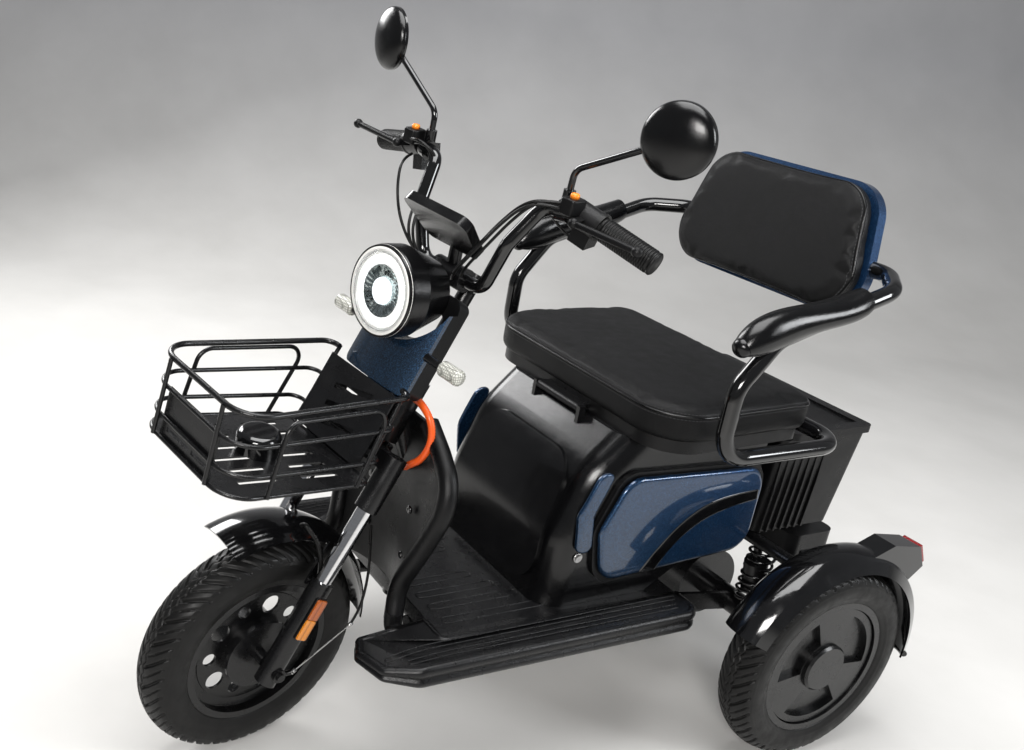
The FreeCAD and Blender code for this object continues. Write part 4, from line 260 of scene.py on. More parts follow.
def leather():
    """Black leatherette: grain cells darker in their joints, with soft creases."""
    n = Nodes("black_leather")
    warp = n.noise(45, 3)
    cell = n.cells(620, "DISTANCE_TO_EDGE")
    grain = n.span(cell, 0, 1, 0.0, 0.12)
    fine = n.cells(1500)
    crease = n.noise(18, 8, 0.65, n.scaled((1, 2.2, 1)), 0.8)
    color = n.ramp(n.noise(8, 6), (0.0014, 0.0014, 0.0016), (0.0032, 0.0032, 0.0036))
    joint = n.math("MULTIPLY", n.span(cell, 1, 0, 0.0, 0.1), 0.3)
    color = dusty(n, n.mix(joint, color, (0.0006, 0.0006, 0.0006)), 0.003)
    n.put(Specular_IOR_Level=0.18, Coat_Weight=0.02, Coat_Roughness=0.25)
    roughness = n.math("ADD", n.span(warp, 0.38, 0.47, 0.3, 0.7), n.span(grain, 0.08, 0.0))
    normal = n.bump(grain, 0.55, 0.0006, n.bump(fine, 0.25, 0.0002))
    return n.done(color, roughness, n.bump(crease, 0.22, 0.003, normal))


def rubber(name, low, high, rough, dust=0.01):
    n = Nodes(name)
    color = dusty(n, n.ramp(n.noise(24, 8, 0.7), low, high), dust, 0.3)
    n.put(Specular_IOR_Level=0.24)
    roughness = n.span(n.noise(50, 8), rough - 0.14, rough + 0.1, 0.3, 0.7)
    pores = n.bump(n.noise(900, 4), 0.25, 0.0003)
    return n.done(color, roughness, n.bump(n.noise(60, 5), 0.2, 0.0008, pores))


def lens(name, color, rough, cells, clear, glow):
    """Clear or tinted plastic with moulded prisms on its inner side, darkened towards each prism's edge as painted
    shade, with a painted glow.
    """
    n = Nodes(name)
    grid = n.cells(cells, "DISTANCE_TO_EDGE", randomness=0.05)
    facet = n.span(grid, 0, 1, 0.0, 0.25)
    # Painted shade: the colour falls to a fifth of itself towards each prism's edge.
    tint = n.mix(facet, tuple(c * 0.22 for c in color), color)
    n.put(Transmission_Weight=clear, IOR=1.49, Coat_Weight=0.7, Coat_Roughness=0.03)
    # Painted glow: glow sets a faint emission for the light that the plastic gives back.
    n.put(Emission_Color=color, Emission_Strength=glow)
    roughness = n.span(n.noise(30, 4), rough * 0.7, rough * 1.5)
    return n.done(tint, roughness, n.bump(facet, 0.5, 0.0008))


def lamp_light(name, color, power):
    """A lit plastic face, brighter between its moulded flutes."""
    n = Nodes(name)
    flute = n.span(n.cells(330, "DISTANCE_TO_EDGE"), 0, 1, 0.0, 0.2)
    tint = n.mix(flute, tuple(c * 0.7 for c in color), color)
    n.put(Emission_Color=tint, Emission_Strength=power, Coat_Weight=0.5)
    return n.done(tint, n.span(n.noise(60), 0.2, 0.4), n.bump(flute, 0.3, 0.0006))


def clear_cover():
    n = Nodes("clear_cover")
    n.put(Transmission_Weight=1.0, IOR=1.12, Specular_IOR_Level=0.5)
    color = n.ramp(n.noise(12), (0.94, 0.96, 0.97), (0.99, 1.0, 1.0))
    return n.done(color, n.span(n.noise(80, 6), 0.01, 0.05), n.bump(n.noise(40), 0.03, 0.0003))


M = {
    "satin": plastic("satin_black_steel", (0.002, 0.002, 0.0023), (0.004, 0.004, 0.0044),
                     0.26, 900, 0.0002, coat=0.15, dust=0.01),
    "plastic": plastic("black_plastic", (0.0018, 0.0018, 0.002), (0.0038, 0.0038, 0.0042),
                       0.32, 1300, 0.0003, dust=0.012, shine=0.24),
    "floor_plastic": plastic("floor_plastic", (0.0025, 0.0025, 0.0028), (0.0055, 0.0055, 0.006),
                             0.27, 1100, 0.0003, dust=0.012, smudge=0.05, shine=0.3, wave=0.0003),
    "smooth": plastic("smooth_black_plastic", (0.0012, 0.0012, 0.0014), (0.0026, 0.0026, 0.0029),
                      0.17, 2200, 0.0001, coat=0.2, dust=0.008, shine=0.3),
    "gloss": gloss("gloss_black", (0.0015, 0.0015, 0.0018), (0.0035, 0.0035, 0.004)),
    "gloss_steel": gloss("gloss_black_steel", (0.0018, 0.0018, 0.0018), (0.004, 0.004, 0.0045), 0.10, 0.0003),
    "wheel": plastic("wheel_black", (0.0016, 0.0016, 0.0018), (0.0035, 0.0035, 0.0038),
                     0.24, 1500, 0.0002, coat=0.2, dust=0.012, shine=0.3),
    "blue": blue_paint(),
    "chrome": metal("bright_chrome", (0.62, 0.62, 0.64), (0.82, 0.82, 0.83), 0.07, (1, 1, 6)),
    "zinc": metal("zinc_plate", (0.36, 0.36, 0.37), (0.58, 0.57, 0.55), 0.32, (1, 1, 4)),
    "leather": leather(),
    "tyre": rubber("tyre_rubber", (0.0022, 0.0022, 0.0022), (0.0060, 0.0058, 0.0056), 0.46, dust=0.02),
    "rubber": rubber("grip_rubber", (0.002, 0.002, 0.002), (0.0045, 0.0045, 0.0045), 0.42),
    # The lenses' emission is a painted glow of the light they give back; the reflectors are no lamps.
    "amber": lens("amber_reflector", (0.80, 0.27, 0.018), 0.18, 420, 0.0, 0.14),
    "deep_amber": lens("deep_amber_reflector", (0.52, 0.115, 0.010), 0.18, 420, 0.0, 0.08),
    "red": lens("red_lens", (0.42, 0.012, 0.015), 0.12, 360, 0.25, 0.05),
    "clear": lens("clear_lens", (0.88, 0.88, 0.80), 0.07, 250, 0.35, 0.04),
    "orange": plastic("orange_conduit", (0.62, 0.075, 0.008), (0.78, 0.10, 0.012),
                      0.35, 900, 0.0002, coat=0.2, dust=0.01),
    "button": plastic("orange_button", (0.70, 0.18, 0.01), (0.85, 0.24, 0.02),
                      0.3, 1500, 0.0001, coat=0.3, dust=0.0),
    "cable": rubber("cable_jacket", (0.003, 0.003, 0.003), (0.006, 0.006, 0.006), 0.35),
    "thread": plastic("seat_thread", (0.030, 0.030, 0.032), (0.050, 0.050, 0.053), 0.5, 3000, 0.0001),
    "glow": lamp_light("lit_ring", (1.0, 0.99, 0.97), 0.85),
    "bulb": lamp_light("lit_lens", (0.93, 0.97, 1.0), 1.3),
    "milky": plastic("milky_rim", (0.74, 0.73, 0.70), (0.86, 0.85, 0.82),
                     0.16, 2000, 0.0001, coat=0.6, dust=0.0, smudge=0.04, shine=0.5, wave=0.0002),
    "cover": clear_cover(),
    # Painted reflection: the lamp reflector's colour runs from dark greenish patches to bright metal.
    "reflector": metal("lamp_reflector", (0.03, 0.07, 0.065), (0.80, 0.86, 0.85), 0.06),
    "mirror": metal("mirror_glass", (0.72, 0.73, 0.74), (0.78, 0.79, 0.80), 0.03),
}

# Each look's CAD nodes.
LOOKS = {
    "satin": "main_frame head_tube fork_sliders fork_crown basket_wires basket_pan basket_bracket rear_axle "
    "seat_hinge brake_plate signal_stalks basket_plates rear_shocks",
    "plastic": "leg_shield side_trims rear_box box_lid lower_cover panel_backing seat_pan battery hand_controls",
    "floor_plastic": "footboard",
    "smooth": "seat_box front_cover display armrest_pads headlight_housing",
    "gloss": "front_fender rear_fenders mirrors basket_bowl",
    "gloss_steel": "armrest_frame handlebar",
    "wheel": "front_rim rear_rim_left rear_rim_right",
    "blue": "front_panel side_panels side_accents backrest_shell",
    "chrome": "fork_stanchions",
    "leather": "seat_cushion backrest_cushion",
    "tyre": "front_tyre rear_tyre_left rear_tyre_right",
    "rubber": "grips",
    "amber": "fork_reflectors",
    "red": "tail_lamps",
    "clear": "headlight_lens signal_lenses",
    "mirror": "mirror_glasses",
}
for look, names in LOOKS.items():
    for name in names.split():
        slots = nodes[name].data.materials
        slots.clear()
        slots.append(M[look])

# The record's slot for each look.
SLOT_LOOKS = {
    "painted_steel": "satin",
    "black_plastic": "plastic floor_plastic smooth",
    "gloss_black": "gloss",
    "gloss_black_tube": "gloss_steel",
    "bright_steel": "zinc reflector",
    "black_leather": "leather thread",
    "tyre_black": "tyre",
    "rubber_black": "rubber cable",
    "amber": "amber deep_amber orange button",
    "paint_blue": "blue",
    "lamp_clear": "cover milky glow bulb",
}
SLOT_OF = {look: slot for slot, looks in SLOT_LOOKS.items() for look in looks.split()}


# Shapes


def finish_piece(item, look, body, slot=None):
    """Gives a new piece its material and its body; a blended piece has no body here."""
    item.data.materials.append(M[look])
    if body:
        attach(item, body)
    slot or SLOT_OF[look]
    return item


def smooth_shaded(mesh):
    mesh.polygons.foreach_set("use_smooth", [True] * len(mesh.polygons))


def mesh_object(name, verts, faces, smooth=True):
    mesh = bpy.data.meshes.new(name)
    mesh.from_pydata([tuple(v) for v in verts], [], faces)
    mesh.validate()
    if smooth:
        smooth_shaded(mesh)
    return new_object(name, mesh)


def mesh_piece(name, verts, faces, look, body, slot=None, smooth=True):
    return finish_piece(mesh_object(name, verts, faces, smooth), look, body, slot)


def modify(item, kind, **settings):
    """Adds a modifier and applies it at once."""
    modifier = item.modifiers.new(kind.lower(), kind)
    for key, value in settings.items():
        setattr(modifier, key, value)
    bpy.context.view_layer.objects.active = item
    with bpy.context.temp_override(object=item, active_object=item, selected_objects=[item]):
        bpy.ops.object.modifier_apply(modifier=modifier.name)


def nurbs(name, points, order, closed=False):
    """A smooth curve, sampled less where its points lie close."""
    curve = bpy.data.curves.new(name, "CURVE")
    curve.dimensions = "3D"
    curve.resolution_u = 10 if len(points) < 20 else 4
    spline = curve.splines.new("NURBS")
    spline.points.add(len(points) - 1)
    for spline_point, point in zip(spline.points, points):
        spline_point.co = (*point, 1)
    spline.order_u = order
    spline.use_endpoint_u = not closed
    spline.use_cyclic_u = closed
    return curve


def curve_piece(name, points, radius, look, body, slot=None, closed=False, order=4):
    curve = nurbs(name, points, order, closed)
    curve.bevel_depth = radius
    curve.bevel_resolution = 5
    curve.use_fill_caps = True
    return finish_piece(new_object(name, curve), look, body, slot)


def loop(points):
    return points + points[:1]


def lathe(profile, steps):
    """Vertices and faces of a profile of (x, radius) turned about the X axis."""
    verts, faces = [], []
    for i in range(steps):
        angle = 2 * pi * i / steps
        verts += [Vector((x, r * cos(angle), r * sin(angle))) for x, r in profile]
    count = len(profile)
    for i in range(steps):
        here, there = i * count, ((i + 1) % steps) * count
        faces += [(here + j, here + j + 1, there + j + 1, there + j) for j in range(count - 1)]
    return verts, faces


def ring_faces(rows, count, turned=True):
    """Faces of a closed form of rows of points, each a ring; turned winds the first end the other way."""
    faces = []
    for k in range(rows - 1):
        for j in range(count):
            a, b = k * count + j, k * count + (j + 1) % count
            faces.append((a, b, b + count, a + count))
    first = tuple(range(count))
    return faces + [first[::-1] if turned else first, tuple(range((rows - 1) * count, rows * count))]


def flat_ends(item):
    item.data.polygons[-1].use_smooth = item.data.polygons[-2].use_smooth = False


def weld(item):
    """Merges the points that a turned piece has at its poles."""
    shape = bmesh.new()
    shape.from_mesh(item.data)
    bmesh.ops.remove_doubles(shape, verts=shape.verts, dist=1e-5)
    bmesh.ops.recalc_face_normals(shape, faces=shape.faces)
    shape.to_mesh(item.data)
    shape.free()
    return item


def round_cap(name, profile, centre, axis, steps, look, body, slot=None, closed=True):
    """A turned piece whose profile of (along, radius) runs along an axis."""
    verts, faces = lathe(loop(profile) if closed else profile, steps)
    turn = ACROSS.rotation_difference(axis)
    return weld(mesh_piece(name, [turn @ v + centre for v in verts], faces, look, body, slot))


# Tyres with their tread


def arc_points(a, b, c, count):
    """Points along the circle through three points in a plane, from a over b to c."""
    (ax, ay), (bx, by), (cx, cy) = a, b, c
    d = 2 * (ax * (by - cy) + bx * (cy - ay) + cx * (ay - by))
    aa, bb, cc = ax**2 + ay**2, bx**2 + by**2, cx**2 + cy**2
    ux = (aa * (by - cy) + bb * (cy - ay) + cc * (ay - by)) / d
    uy = (aa * (cx - bx) + bb * (ax - cx) + cc * (bx - ax)) / d
    r = hypot(ax - ux, ay - uy)
    start, through, end = (atan2(y - uy, x - ux) for x, y in (a, b, c))
    sweep = (end - start) % (2 * pi)
    if (through - start) % (2 * pi) > sweep:
        sweep -= 2 * pi
    angles = [start + sweep * k / count for k in range(count + 1)]
    return [(ux + r * cos(angle), uy + r * sin(angle)) for angle in angles]


def smooth_step(low, high, value):
    t = min(1.0, max(0.0, (value - low) / (high - low)))
    return t * t * (3 - 2 * t)


def groove(distance, inner, outer):
    """1 in a groove's floor, falling to 0 past its edge."""
    return 1 - smooth_step(inner, outer, distance)


def groove_depth(across, turn, pitches, lean):
    """How deep the tread is cut at a place, from 0 to 1; across runs from -1 to 1."""
    side = abs(across)
    phase = turn * pitches / (2 * pi)
    zigzag = 0.12 + 0.05 * sin(2 * pi * phase * 2)
    depth = groove(abs(side - zigzag), 0.018, 0.035)
    sweep = phase + (0.5 if across > 0 else 0.0) + lean * (side ** 1.4)
    if 0.16 < side < 0.97:
        width = 0.085 + 0.03 * side
        depth = max(depth, groove(abs((sweep + 0.5) % 1.0 - 0.5), width * 0.6, width))
    if 0.42 < side < 0.86:
        depth = max(depth, 0.8 * groove(abs(sweep % 1.0 - 0.5), 0.035, 0.06))
    if 0.2 < side < 0.4:
        depth = max(depth, 0.45 * groove(abs((sweep + 0.25) % 0.5 - 0.25), 0.02, 0.05))
    return depth


TYRE_BEAD, TYRE_LIP, TYRE_HALF = 0.1273, 0.1353, 0.040
BEAD_HALF, FOOT_HALF = 0.0287, 0.033
TREAD_CUT, TREAD_STEPS, TREAD_PITCHES = 0.0042, 630, 30
WALL_RINGS = ((0.2, 0.0004), (0.62, 0.0005))
WALL_SINK = 0.0005


def tyre(name, node, body, radius, centre, axis, lean):
    """A tyre with directional grooves cut in its crown, on the solid's own outline."""
    wall = radius - TYRE_LIP
    foot, belly = (FOOT_HALF, TYRE_LIP), (TYRE_HALF, TYRE_LIP + wall * 0.42)
    shoulder_x, shoulder_r = TYRE_HALF * 0.84, TYRE_LIP + wall * 0.8
    right = arc_points(foot, belly, (shoulder_x, shoulder_r), 22)
    top = arc_points((shoulder_x, shoulder_r), (0.0, radius), (-shoulder_x, shoulder_r), 72)
    left = [(-x, r) for x, r in reversed(right)]
    profile = [(BEAD_HALF, TYRE_BEAD), (BEAD_HALF, TYRE_LIP)] + right[:-1] + top + left[1:]
    profile = loop(profile + [(-BEAD_HALF, TYRE_LIP), (-BEAD_HALF, TYRE_BEAD)])
    verts, faces = lathe(profile, TREAD_STEPS)
    count = len(profile)
    for index, point in enumerate(verts):
        x, r = profile[index % count]
        turn = 2 * pi * (index // count) / TREAD_STEPS
        if r > shoulder_r - 0.006 and abs(x) < TYRE_HALF:
            cut = TREAD_CUT * groove_depth(x / (TYRE_HALF * 1.02), turn, TREAD_PITCHES, lean)
            if cut:
                scale = (r - cut) / r
                point.y, point.z = point.y * scale, point.z * scale
        elif TYRE_LIP + 0.004 < r < shoulder_r - 0.008:
            rise = sum(high * groove(abs(r - (TYRE_LIP + wall * share)), 0.0006, 0.0012) for share, high in WALL_RINGS)
            point.x += copysign(rise, x) - copysign(WALL_SINK, x)
    frame_turn = ACROSS.rotation_difference(axis)
    item = mesh_piece(name, [frame_turn @ v + centre for v in verts], faces, "tyre", body)
    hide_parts(node)


tyre("front_tyre_tread", "front_tyre", "front_wheel", 0.2028, steered(FRONT_AXLE), TURN @ ACROSS, 1.1)
for side, word in SIDES:
    centre = REAR_AXLE + ACROSS * (REAR_HALF_TRACK * side)
    tyre(f"rear_tyre_{word}_tread", f"rear_tyre_{word}", f"rear_wheel_{word}", 0.1948, centre, ACROSS, 1.0)


# Cushions


def rounded_outline(corners, radii, steps=10):
    """A closed outline with rounded corners, from corner points in a plane."""
    points = []
    for i, radius in enumerate(radii):
        here = Vector(corners[i])
        before = (Vector(corners[i - 1]) - here).normalized()
        after = (Vector(corners[(i + 1) % len(radii)]) - here).normalized()
        half = before.angle(after) / 2
        reach = radius / tan(half)
        centre = here + (before + after).normalized() * (radius / sin(half))
        a, b = here + before * reach - centre, here + after * reach - centre
        turn = a.angle_signed(b)
        for k in range(steps + 1):
            t = turn * k / steps
            c, s = cos(-t), sin(-t)
            points.append(centre + Vector((a.x * c - a.y * s, a.x * s + a.y * c)))
    return points


CUSHION_VOXEL, CUSHION_PRESSURE, CUSHION_CAP, CUSHION_FRAMES = 0.0055, 4.0, 0.006, 20


def swell(item):
    """Swells a closed mesh as cloth round air, held near its first shape."""
    modify(item, "REMESH", mode="VOXEL", voxel_size=CUSHION_VOXEL)
    start = [v.co.copy() for v in item.data.vertices]
    cloth = item.modifiers.new("cloth", "CLOTH")
    cloth.settings.use_pressure = True
    cloth.settings.uniform_pressure_force = CUSHION_PRESSURE
    cloth.settings.effector_weights.gravity = 0
    cloth.settings.quality = 4
    cloth.settings.tension_stiffness = 30
    cloth.settings.compression_stiffness = 30
    cloth.settings.bending_stiffness = 8
    cloth.point_cache.frame_start, cloth.point_cache.frame_end = 1, CUSHION_FRAMES
    for step in range(1, CUSHION_FRAMES + 1):
        scene.frame_set(step)
    depsgraph = bpy.context.evaluated_depsgraph_get()
    moved = [v.co.copy() for v in item.evaluated_get(depsgraph).data.vertices]
    item.modifiers.clear()
    scene.frame_set(1)
    for vertex, old, new in zip(item.data.vertices, start, moved):
        shift = new - old
        if shift.length > CUSHION_CAP:
            shift = shift.normalized() * CUSHION_CAP
        vertex.co = old + shift
    smooth_shaded(item.data)


def middle_of(outline):
    return sum(outline, Vector((0, 0))) / len(outline)


def pillow(name, outline, depth, edge, look, body, place, slot=None):
    """A closed pad: an outline lofted through rounded edges; place turns (x, y, level) into a point."""
    steps = 6
    turns = [pi / 2 * k / steps for k in range(steps + 1)]
    levels = [(edge * (1 - sin(t)), edge * (1 - cos(t))) for t in turns]
    rings = levels + [(inset, depth - low) for inset, low in reversed(levels)]
    centre = middle_of(outline)
    verts = []
    for inset, level in rings:
        for point in outline:
            spot = point + (centre - point).normalized() * inset
            verts.append(place(spot.x, spot.y, level))
    return mesh_piece(name, verts, ring_faces(len(rings), len(outline)), look, body, slot)


def surface_line(item, outline, level, place):
    """Points of a piece's surface met from outside, round an outline at one level."""
    tree = BVHTree.FromObject(item, bpy.context.evaluated_depsgraph_get())
    centre = middle_of(outline)
    points = []
    count, total = 220, len(outline)
    for k in range(count):
        at = k * total / count
        spot = outline[int(at)].lerp(outline[(int(at) + 1) % total], at % 1)
        far = place(*(centre + (spot - centre) * 1.3), level)
        near = place(*centre, level)
        hit = tree.ray_cast(far, (near - far).normalized())[0]
        if hit:
            points.append(hit)
    return points


def even_line(points, step, closed=True):
    """Places and headings at even steps along a line."""
    places = []
    carried = 0.0
    after = points[1:] + points[:1] if closed else points[1:]
    for a, b in zip(points, after):
        run = (b - a).length
        while carried < run:
            places.append((a.lerp(b, carried / run), (b - a).normalized()))
            carried += step
        carried -= run
    return places


STITCH_LENGTH = 0.0042
STITCH_PROFILE = ((-0.5, -0.0003, 0.0003), (-0.3, 0.0006, 0.00045), (0.3, 0.0006, 0.00045), (0.5, -0.0003, 0.0003))


def stitches(name, lines, body, centre):
    """Raised thread stitches along closed lines, as one mesh."""
    verts, faces = [], []
    for line in lines:
        for place, heading in even_line(line, STITCH_LENGTH * 1.45):
            out = (place - centre).normalized()
            out = (out - heading * out.dot(heading)).normalized()
            side = heading.cross(out)
            base = len(verts)
            for along, height, width in STITCH_PROFILE:
                row = place + heading * (along * STITCH_LENGTH) + out * height
                verts += [row + side * (across * width) for across in (-1, 1)]
            faces += [(a, a + 1, a + 3, a + 2) for a in (base, base + 2, base + 4)]
            faces.append((base, base + 2, base + 4, base + 6))
            faces.append((base + 1, base + 7, base + 5, base + 3))
            faces.append((base, base + 6, base + 7, base + 1))
    mesh_piece(name, verts, faces, "thread", body, smooth=False)


def dress_cushion(item, word, body, outline, place, piping, seam_level, stitch_levels, centre):
    """Stands a swollen pad in for its CAD cushion and gives it its piping and stitches."""
    modify(item, "SUBSURF", levels=1, subdivision_type="CATMULL_CLARK")
    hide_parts(f"{word}_cushion")
    seam = surface_line(item, outline, seam_level, place)
    curve_piece(f"{word}_piping", seam[::2], piping, "smooth", body, "black_leather", closed=True)
    rows = [surface_line(item, outline, level, place) for level in stitch_levels]
    stitches(f"{word}_stitches", rows, body, centre)


CUSHION_SKIN = 0.005  # the room that each pad swells into
SEAT_HALF_FRONT, SEAT_HALF_REAR = 0.276, 0.262
SEAT_FRONT, SEAT_REAR, SEAT_LOW, SEAT_HIGH = 0.050, 0.403, 0.623, 0.683
SEAT_ROUNDS = (0.034, 0.034, 0.089, 0.089)
SEAT_CROWN = 0.006


def seat_cushion():
    """Boxy seat pad with upright sides, a piped seam and two rows of stitches."""

    def place(x, y, level):
        return Vector((x, y, SEAT_LOW + level))

    half_front, half_rear = SEAT_HALF_FRONT - CUSHION_SKIN, SEAT_HALF_REAR - CUSHION_SKIN
    front, rear = SEAT_FRONT + CUSHION_SKIN, SEAT_REAR - CUSHION_SKIN
    corners = [(half_rear, rear), (-half_rear, rear), (-half_front, front), (half_front, front)]
    outline = rounded_outline(corners, SEAT_ROUNDS)
    depth = SEAT_HIGH - SEAT_LOW - 0.0055
    item = pillow("seat_padding", outline, depth, 0.012, "leather", "seat", place)
    swell(item)
    middle_y, half_y = (SEAT_FRONT + SEAT_REAR) / 2, (SEAT_REAR - SEAT_FRONT) / 2
    for vertex in item.data.vertices:
        co = vertex.co
        x, y = co.x / SEAT_HALF_FRONT, (co.y - middle_y) / half_y
        if co.z > SEAT_LOW + depth * 0.6:
            co.z += SEAT_CROWN * max(0.0, (1 - x * x) * (1 - y * y))
        share = (co.y - SEAT_FRONT) / (SEAT_REAR - SEAT_FRONT)
        wide = SEAT_HALF_FRONT + (SEAT_HALF_REAR - SEAT_HALF_FRONT) * share
        co.x = min(max(co.x, -wide), wide)
        co.y = min(max(co.y, SEAT_FRONT), SEAT_REAR)
        co.z = max(co.z, SEAT_LOW + 0.0002)
    centre = Vector((0, middle_y, SEAT_LOW + 0.04))
    dress_cushion(item, "seat", "seat", outline, place, 0.0019, 0.0455, (0.0405, 0.0500), centre)


BACK_LEAN = radians(10.5)
BACK_LOW_Y, BACK_LOW_Z = 0.420, 0.807
BACK_LOW_HALF, BACK_HIGH_HALF, BACK_HEIGHT, BACK_GAUGE = 0.235, 0.180, 0.230, 0.038
BACK_ROUND, BACK_FRONT_ROOM = 0.067, 0.006


def backrest_cushion():
    """Backrest pad, narrower at its top, with a piped seam and two rows of stitches."""
    c, s = cos(BACK_LEAN), sin(BACK_LEAN)

    def place(x, z, level):
        return Vector((x, BACK_LOW_Y + level * c + z * s, BACK_LOW_Z + z * c - level * s))

    low, high, top = BACK_LOW_HALF - CUSHION_SKIN, BACK_HIGH_HALF - CUSHION_SKIN, BACK_HEIGHT - CUSHION_SKIN
    corners = [(low, CUSHION_SKIN), (high, top), (-high, top), (-low, CUSHION_SKIN)]
    outline = rounded_outline(corners, (BACK_ROUND,) * 4)
    item = pillow("backrest_padding", outline, BACK_GAUGE - BACK_FRONT_ROOM, 0.011, "leather", "frame",
                  lambda x, z, level: place(x, z, level + BACK_FRONT_ROOM))
    swell(item)
    for vertex in item.data.vertices:
        co = vertex.co
        level = (co.y - BACK_LOW_Y) * c - (co.z - BACK_LOW_Z) * s
        over = level - (BACK_GAUGE - 0.0003)
        if over > 0:
            co.y -= over * c
            co.z += over * s
    centre = place(0, BACK_HEIGHT / 2, 0.02)
    dress_cushion(item, "backrest", "frame", outline, place, 0.0018, 0.0135, (0.0095, 0.0175), centre)


seat_cushion()
backrest_cushion()


# Headlight

LAMP_FACE = Vector((0, -0.360, 0.829))
LAMP_TILT = radians(5)


def at_lamp(point):
    """A place by the lamp's own axis, X outward, as it stands with the bars turned."""
    turned = Quaternion((1, 0, 0), -LAMP_TILT) @ Vector((point.y, -point.x, point.z))
    return steered(LAMP_FACE + turned)


def lamp_ring(name, profile, steps, look, facet=None):
    """A piece of the lamp turned about its axis; facet (low, high, rise) lifts every other row."""
    verts, faces = lathe(profile, steps)
    if facet:
        low, high, rise = facet
        for index, point in enumerate(verts):
            row, at = divmod(index, len(profile))
            if low < profile[at][1] < high:
                point.x += rise * (row % 2)
    return weld(mesh_piece(name, [at_lamp(v) for v in verts], faces, look, "steering", smooth=not facet))


def headlight():
    """A lit ring round a faceted reflector and a round lens, under a clear cover."""
    edge = 63.7
    cover = mm(
        (7.5, edge), (9.8, edge - 2), (11.2, edge - 8), (12, 30), (12.2, 0), (11.2, 0), (11, 30), (10.2, edge - 9),
        (8.6, edge - 4), (7.5, edge - 4),
    )
    rim = mm(
        (0.3, edge + 7), (4, edge + 7.4), (7.2, edge + 5.5), (8.8, edge + 1.5), (7.4, edge - 6), (1.2, edge - 8),
        (0.3, edge - 8),
    )
    glow = mm((0.6, 56), (6, 55.6), (7, 50), (5.5, 41), (0.6, 40))
    bowl = mm((5.5, 40.2), (3.5, 36), (2.8, 32), (1.8, 28), (0.6, 20))
    bulb = mm((0.6, 21), (5, 20.5), (7.5, 17), (9.2, 9), (9.6, 0), (0.6, 0))
    parts = [
        lamp_ring("headlight_cover", loop(cover), 96, "cover"),
        lamp_ring("headlight_outer_rim", loop(rim), 96, "milky"),
        lamp_ring("headlight_light_ring", loop(glow), 96, "glow"),
        lamp_ring("headlight_reflector", bowl, 56, "reflector", facet=(0.022, 0.040, 0.0016)),
        lamp_ring("headlight_bulb_lens", loop(bulb), 64, "bulb"),
    ]
    for part in parts:
        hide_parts("headlight_lens")


headlight()


# Footboard, in place of the plain moulding

FLOOR_LOW, NOSE_START, NOSE_LENGTH = 0.262, -0.326, 0.084
LEDGE_CORNERS = mm(
    (152, -262), (152, -393), (186, -410), (246, -393), (280, -342), (280, 230), (208, 230), (208, -262),
)
LEDGE_ROUNDS = (0.004, 0.012, 0.014, 0.020, 0.030, 0.034, 0.004, 0.004)
# The double rolled lip as (inset, height).
LIP_PROFILE = mm(
    (6, 262.2), (2, 264), (0.2, 269), (1, 274.5), (4.5, 277.5), (4.8, 280.5), (1, 283.5), (0, 289.5), (1.2, 295.5),
    (4.5, 299.3), (8, 300), (11, 299.2), (13, 297.6),
)
# Ribs as (x, front end, rear end).
LEDGE_RIBS = ((0.226, -0.372, 0.204), (0.250, -0.345, 0.188))
TRAY_CORNERS = mm((-208.5, -262), (208.5, -262), (208.5, 230), (-208.5, 230))
TRAY_LOW, TRAY_GAUGE = 0.2644, 0.0276
TRAY_RIBS = ((0.045, 0.118), (0.084, 0.142), (0.121, 0.168), (0.163, 0.215))  # as (x, length)


def nose_height(y, z):
    """Heights drop towards the tip of the floor's two horns."""
    share = min(1.0, max(0.0, (NOSE_START - y) / NOSE_LENGTH))
    return FLOOR_LOW + (z - FLOOR_LOW) * (1 - 0.5 * share)


def inset_loop(points, inset):
    """A closed outline moved inward along its own normals."""
    count = len(points)
    inward = 1 if sum(points[i - 1].cross(points[i]) for i in range(count)) > 0 else -1
    moved = []
    for i in range(count):
        run = points[(i + 1) % count] - points[i - 1]
        moved.append(points[i] + Vector((-run.y, run.x)).normalized() * inward * inset)
    return moved


def track(name, x, start, end, half, z):
    """A long raised outline with round ends, moulded on a level face."""

    def round_end(y, first):
        turns = [first + pi * k / 6 for k in range(7)]
        return [(x + half * cos(t), y + half * sin(t)) for t in turns]

    count = 10
    far = [(x - half, end + (start - end) * k / count) for k in range(1, count)]
    near = [(x + half, start + (end - start) * k / count) for k in range(1, count)]
    points = round_end(end, 0) + far + round_end(start, pi) + near
    places = [(a, b, nose_height(b, z)) for a, b in points]
    curve_piece(name, places, 0.0011, "floor_plastic", "frame", closed=True, order=3)


def ledge(side, word):
    """One raised ledge of the floor, with a double rolled lip and two ribs."""
    outline = rounded_outline([(x * side, y) for x, y in LEDGE_CORNERS], LEDGE_ROUNDS, 8)
    verts = []
    for inset, z in LIP_PROFILE:
        verts += [Vector((q.x, q.y, nose_height(q.y, z))) for q in inset_loop(outline, inset)]
    faces = ring_faces(len(LIP_PROFILE), len(outline), turned=False)
    item = mesh_piece(f"floor_ledge_{word}", verts, faces, "floor_plastic", "frame")
    flat_ends(item)
    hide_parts("footboard")
    for index, (x, start, end) in enumerate(LEDGE_RIBS):
        track(f"floor_rib_{word}_{index}", side * x, start, end, 0.0052, 0.2978)


def floor_tray():
    outline = rounded_outline(TRAY_CORNERS, (0.003,) * 4, 3)
    item = pillow("floor_tray", outline, TRAY_GAUGE, 0.002, "floor_plastic", "frame",
                  lambda x, y, level: Vector((x, y, TRAY_LOW + level)))
    flat_ends(item)
    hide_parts("footboard")
    for side, word in SIDES:
        for index, (x, reach) in enumerate(TRAY_RIBS):
            track(f"tray_rib_{word}_{index}", side * x, -0.236 + 0.002 * index, -0.236 + reach, 0.0085, 0.2921)


for side, word in SIDES:
    ledge(side, word)
floor_tray()


# Mirror backs, wiring and control caps

MIRROR_RADIUS, MIRROR_DOME = 0.0510, 0.020


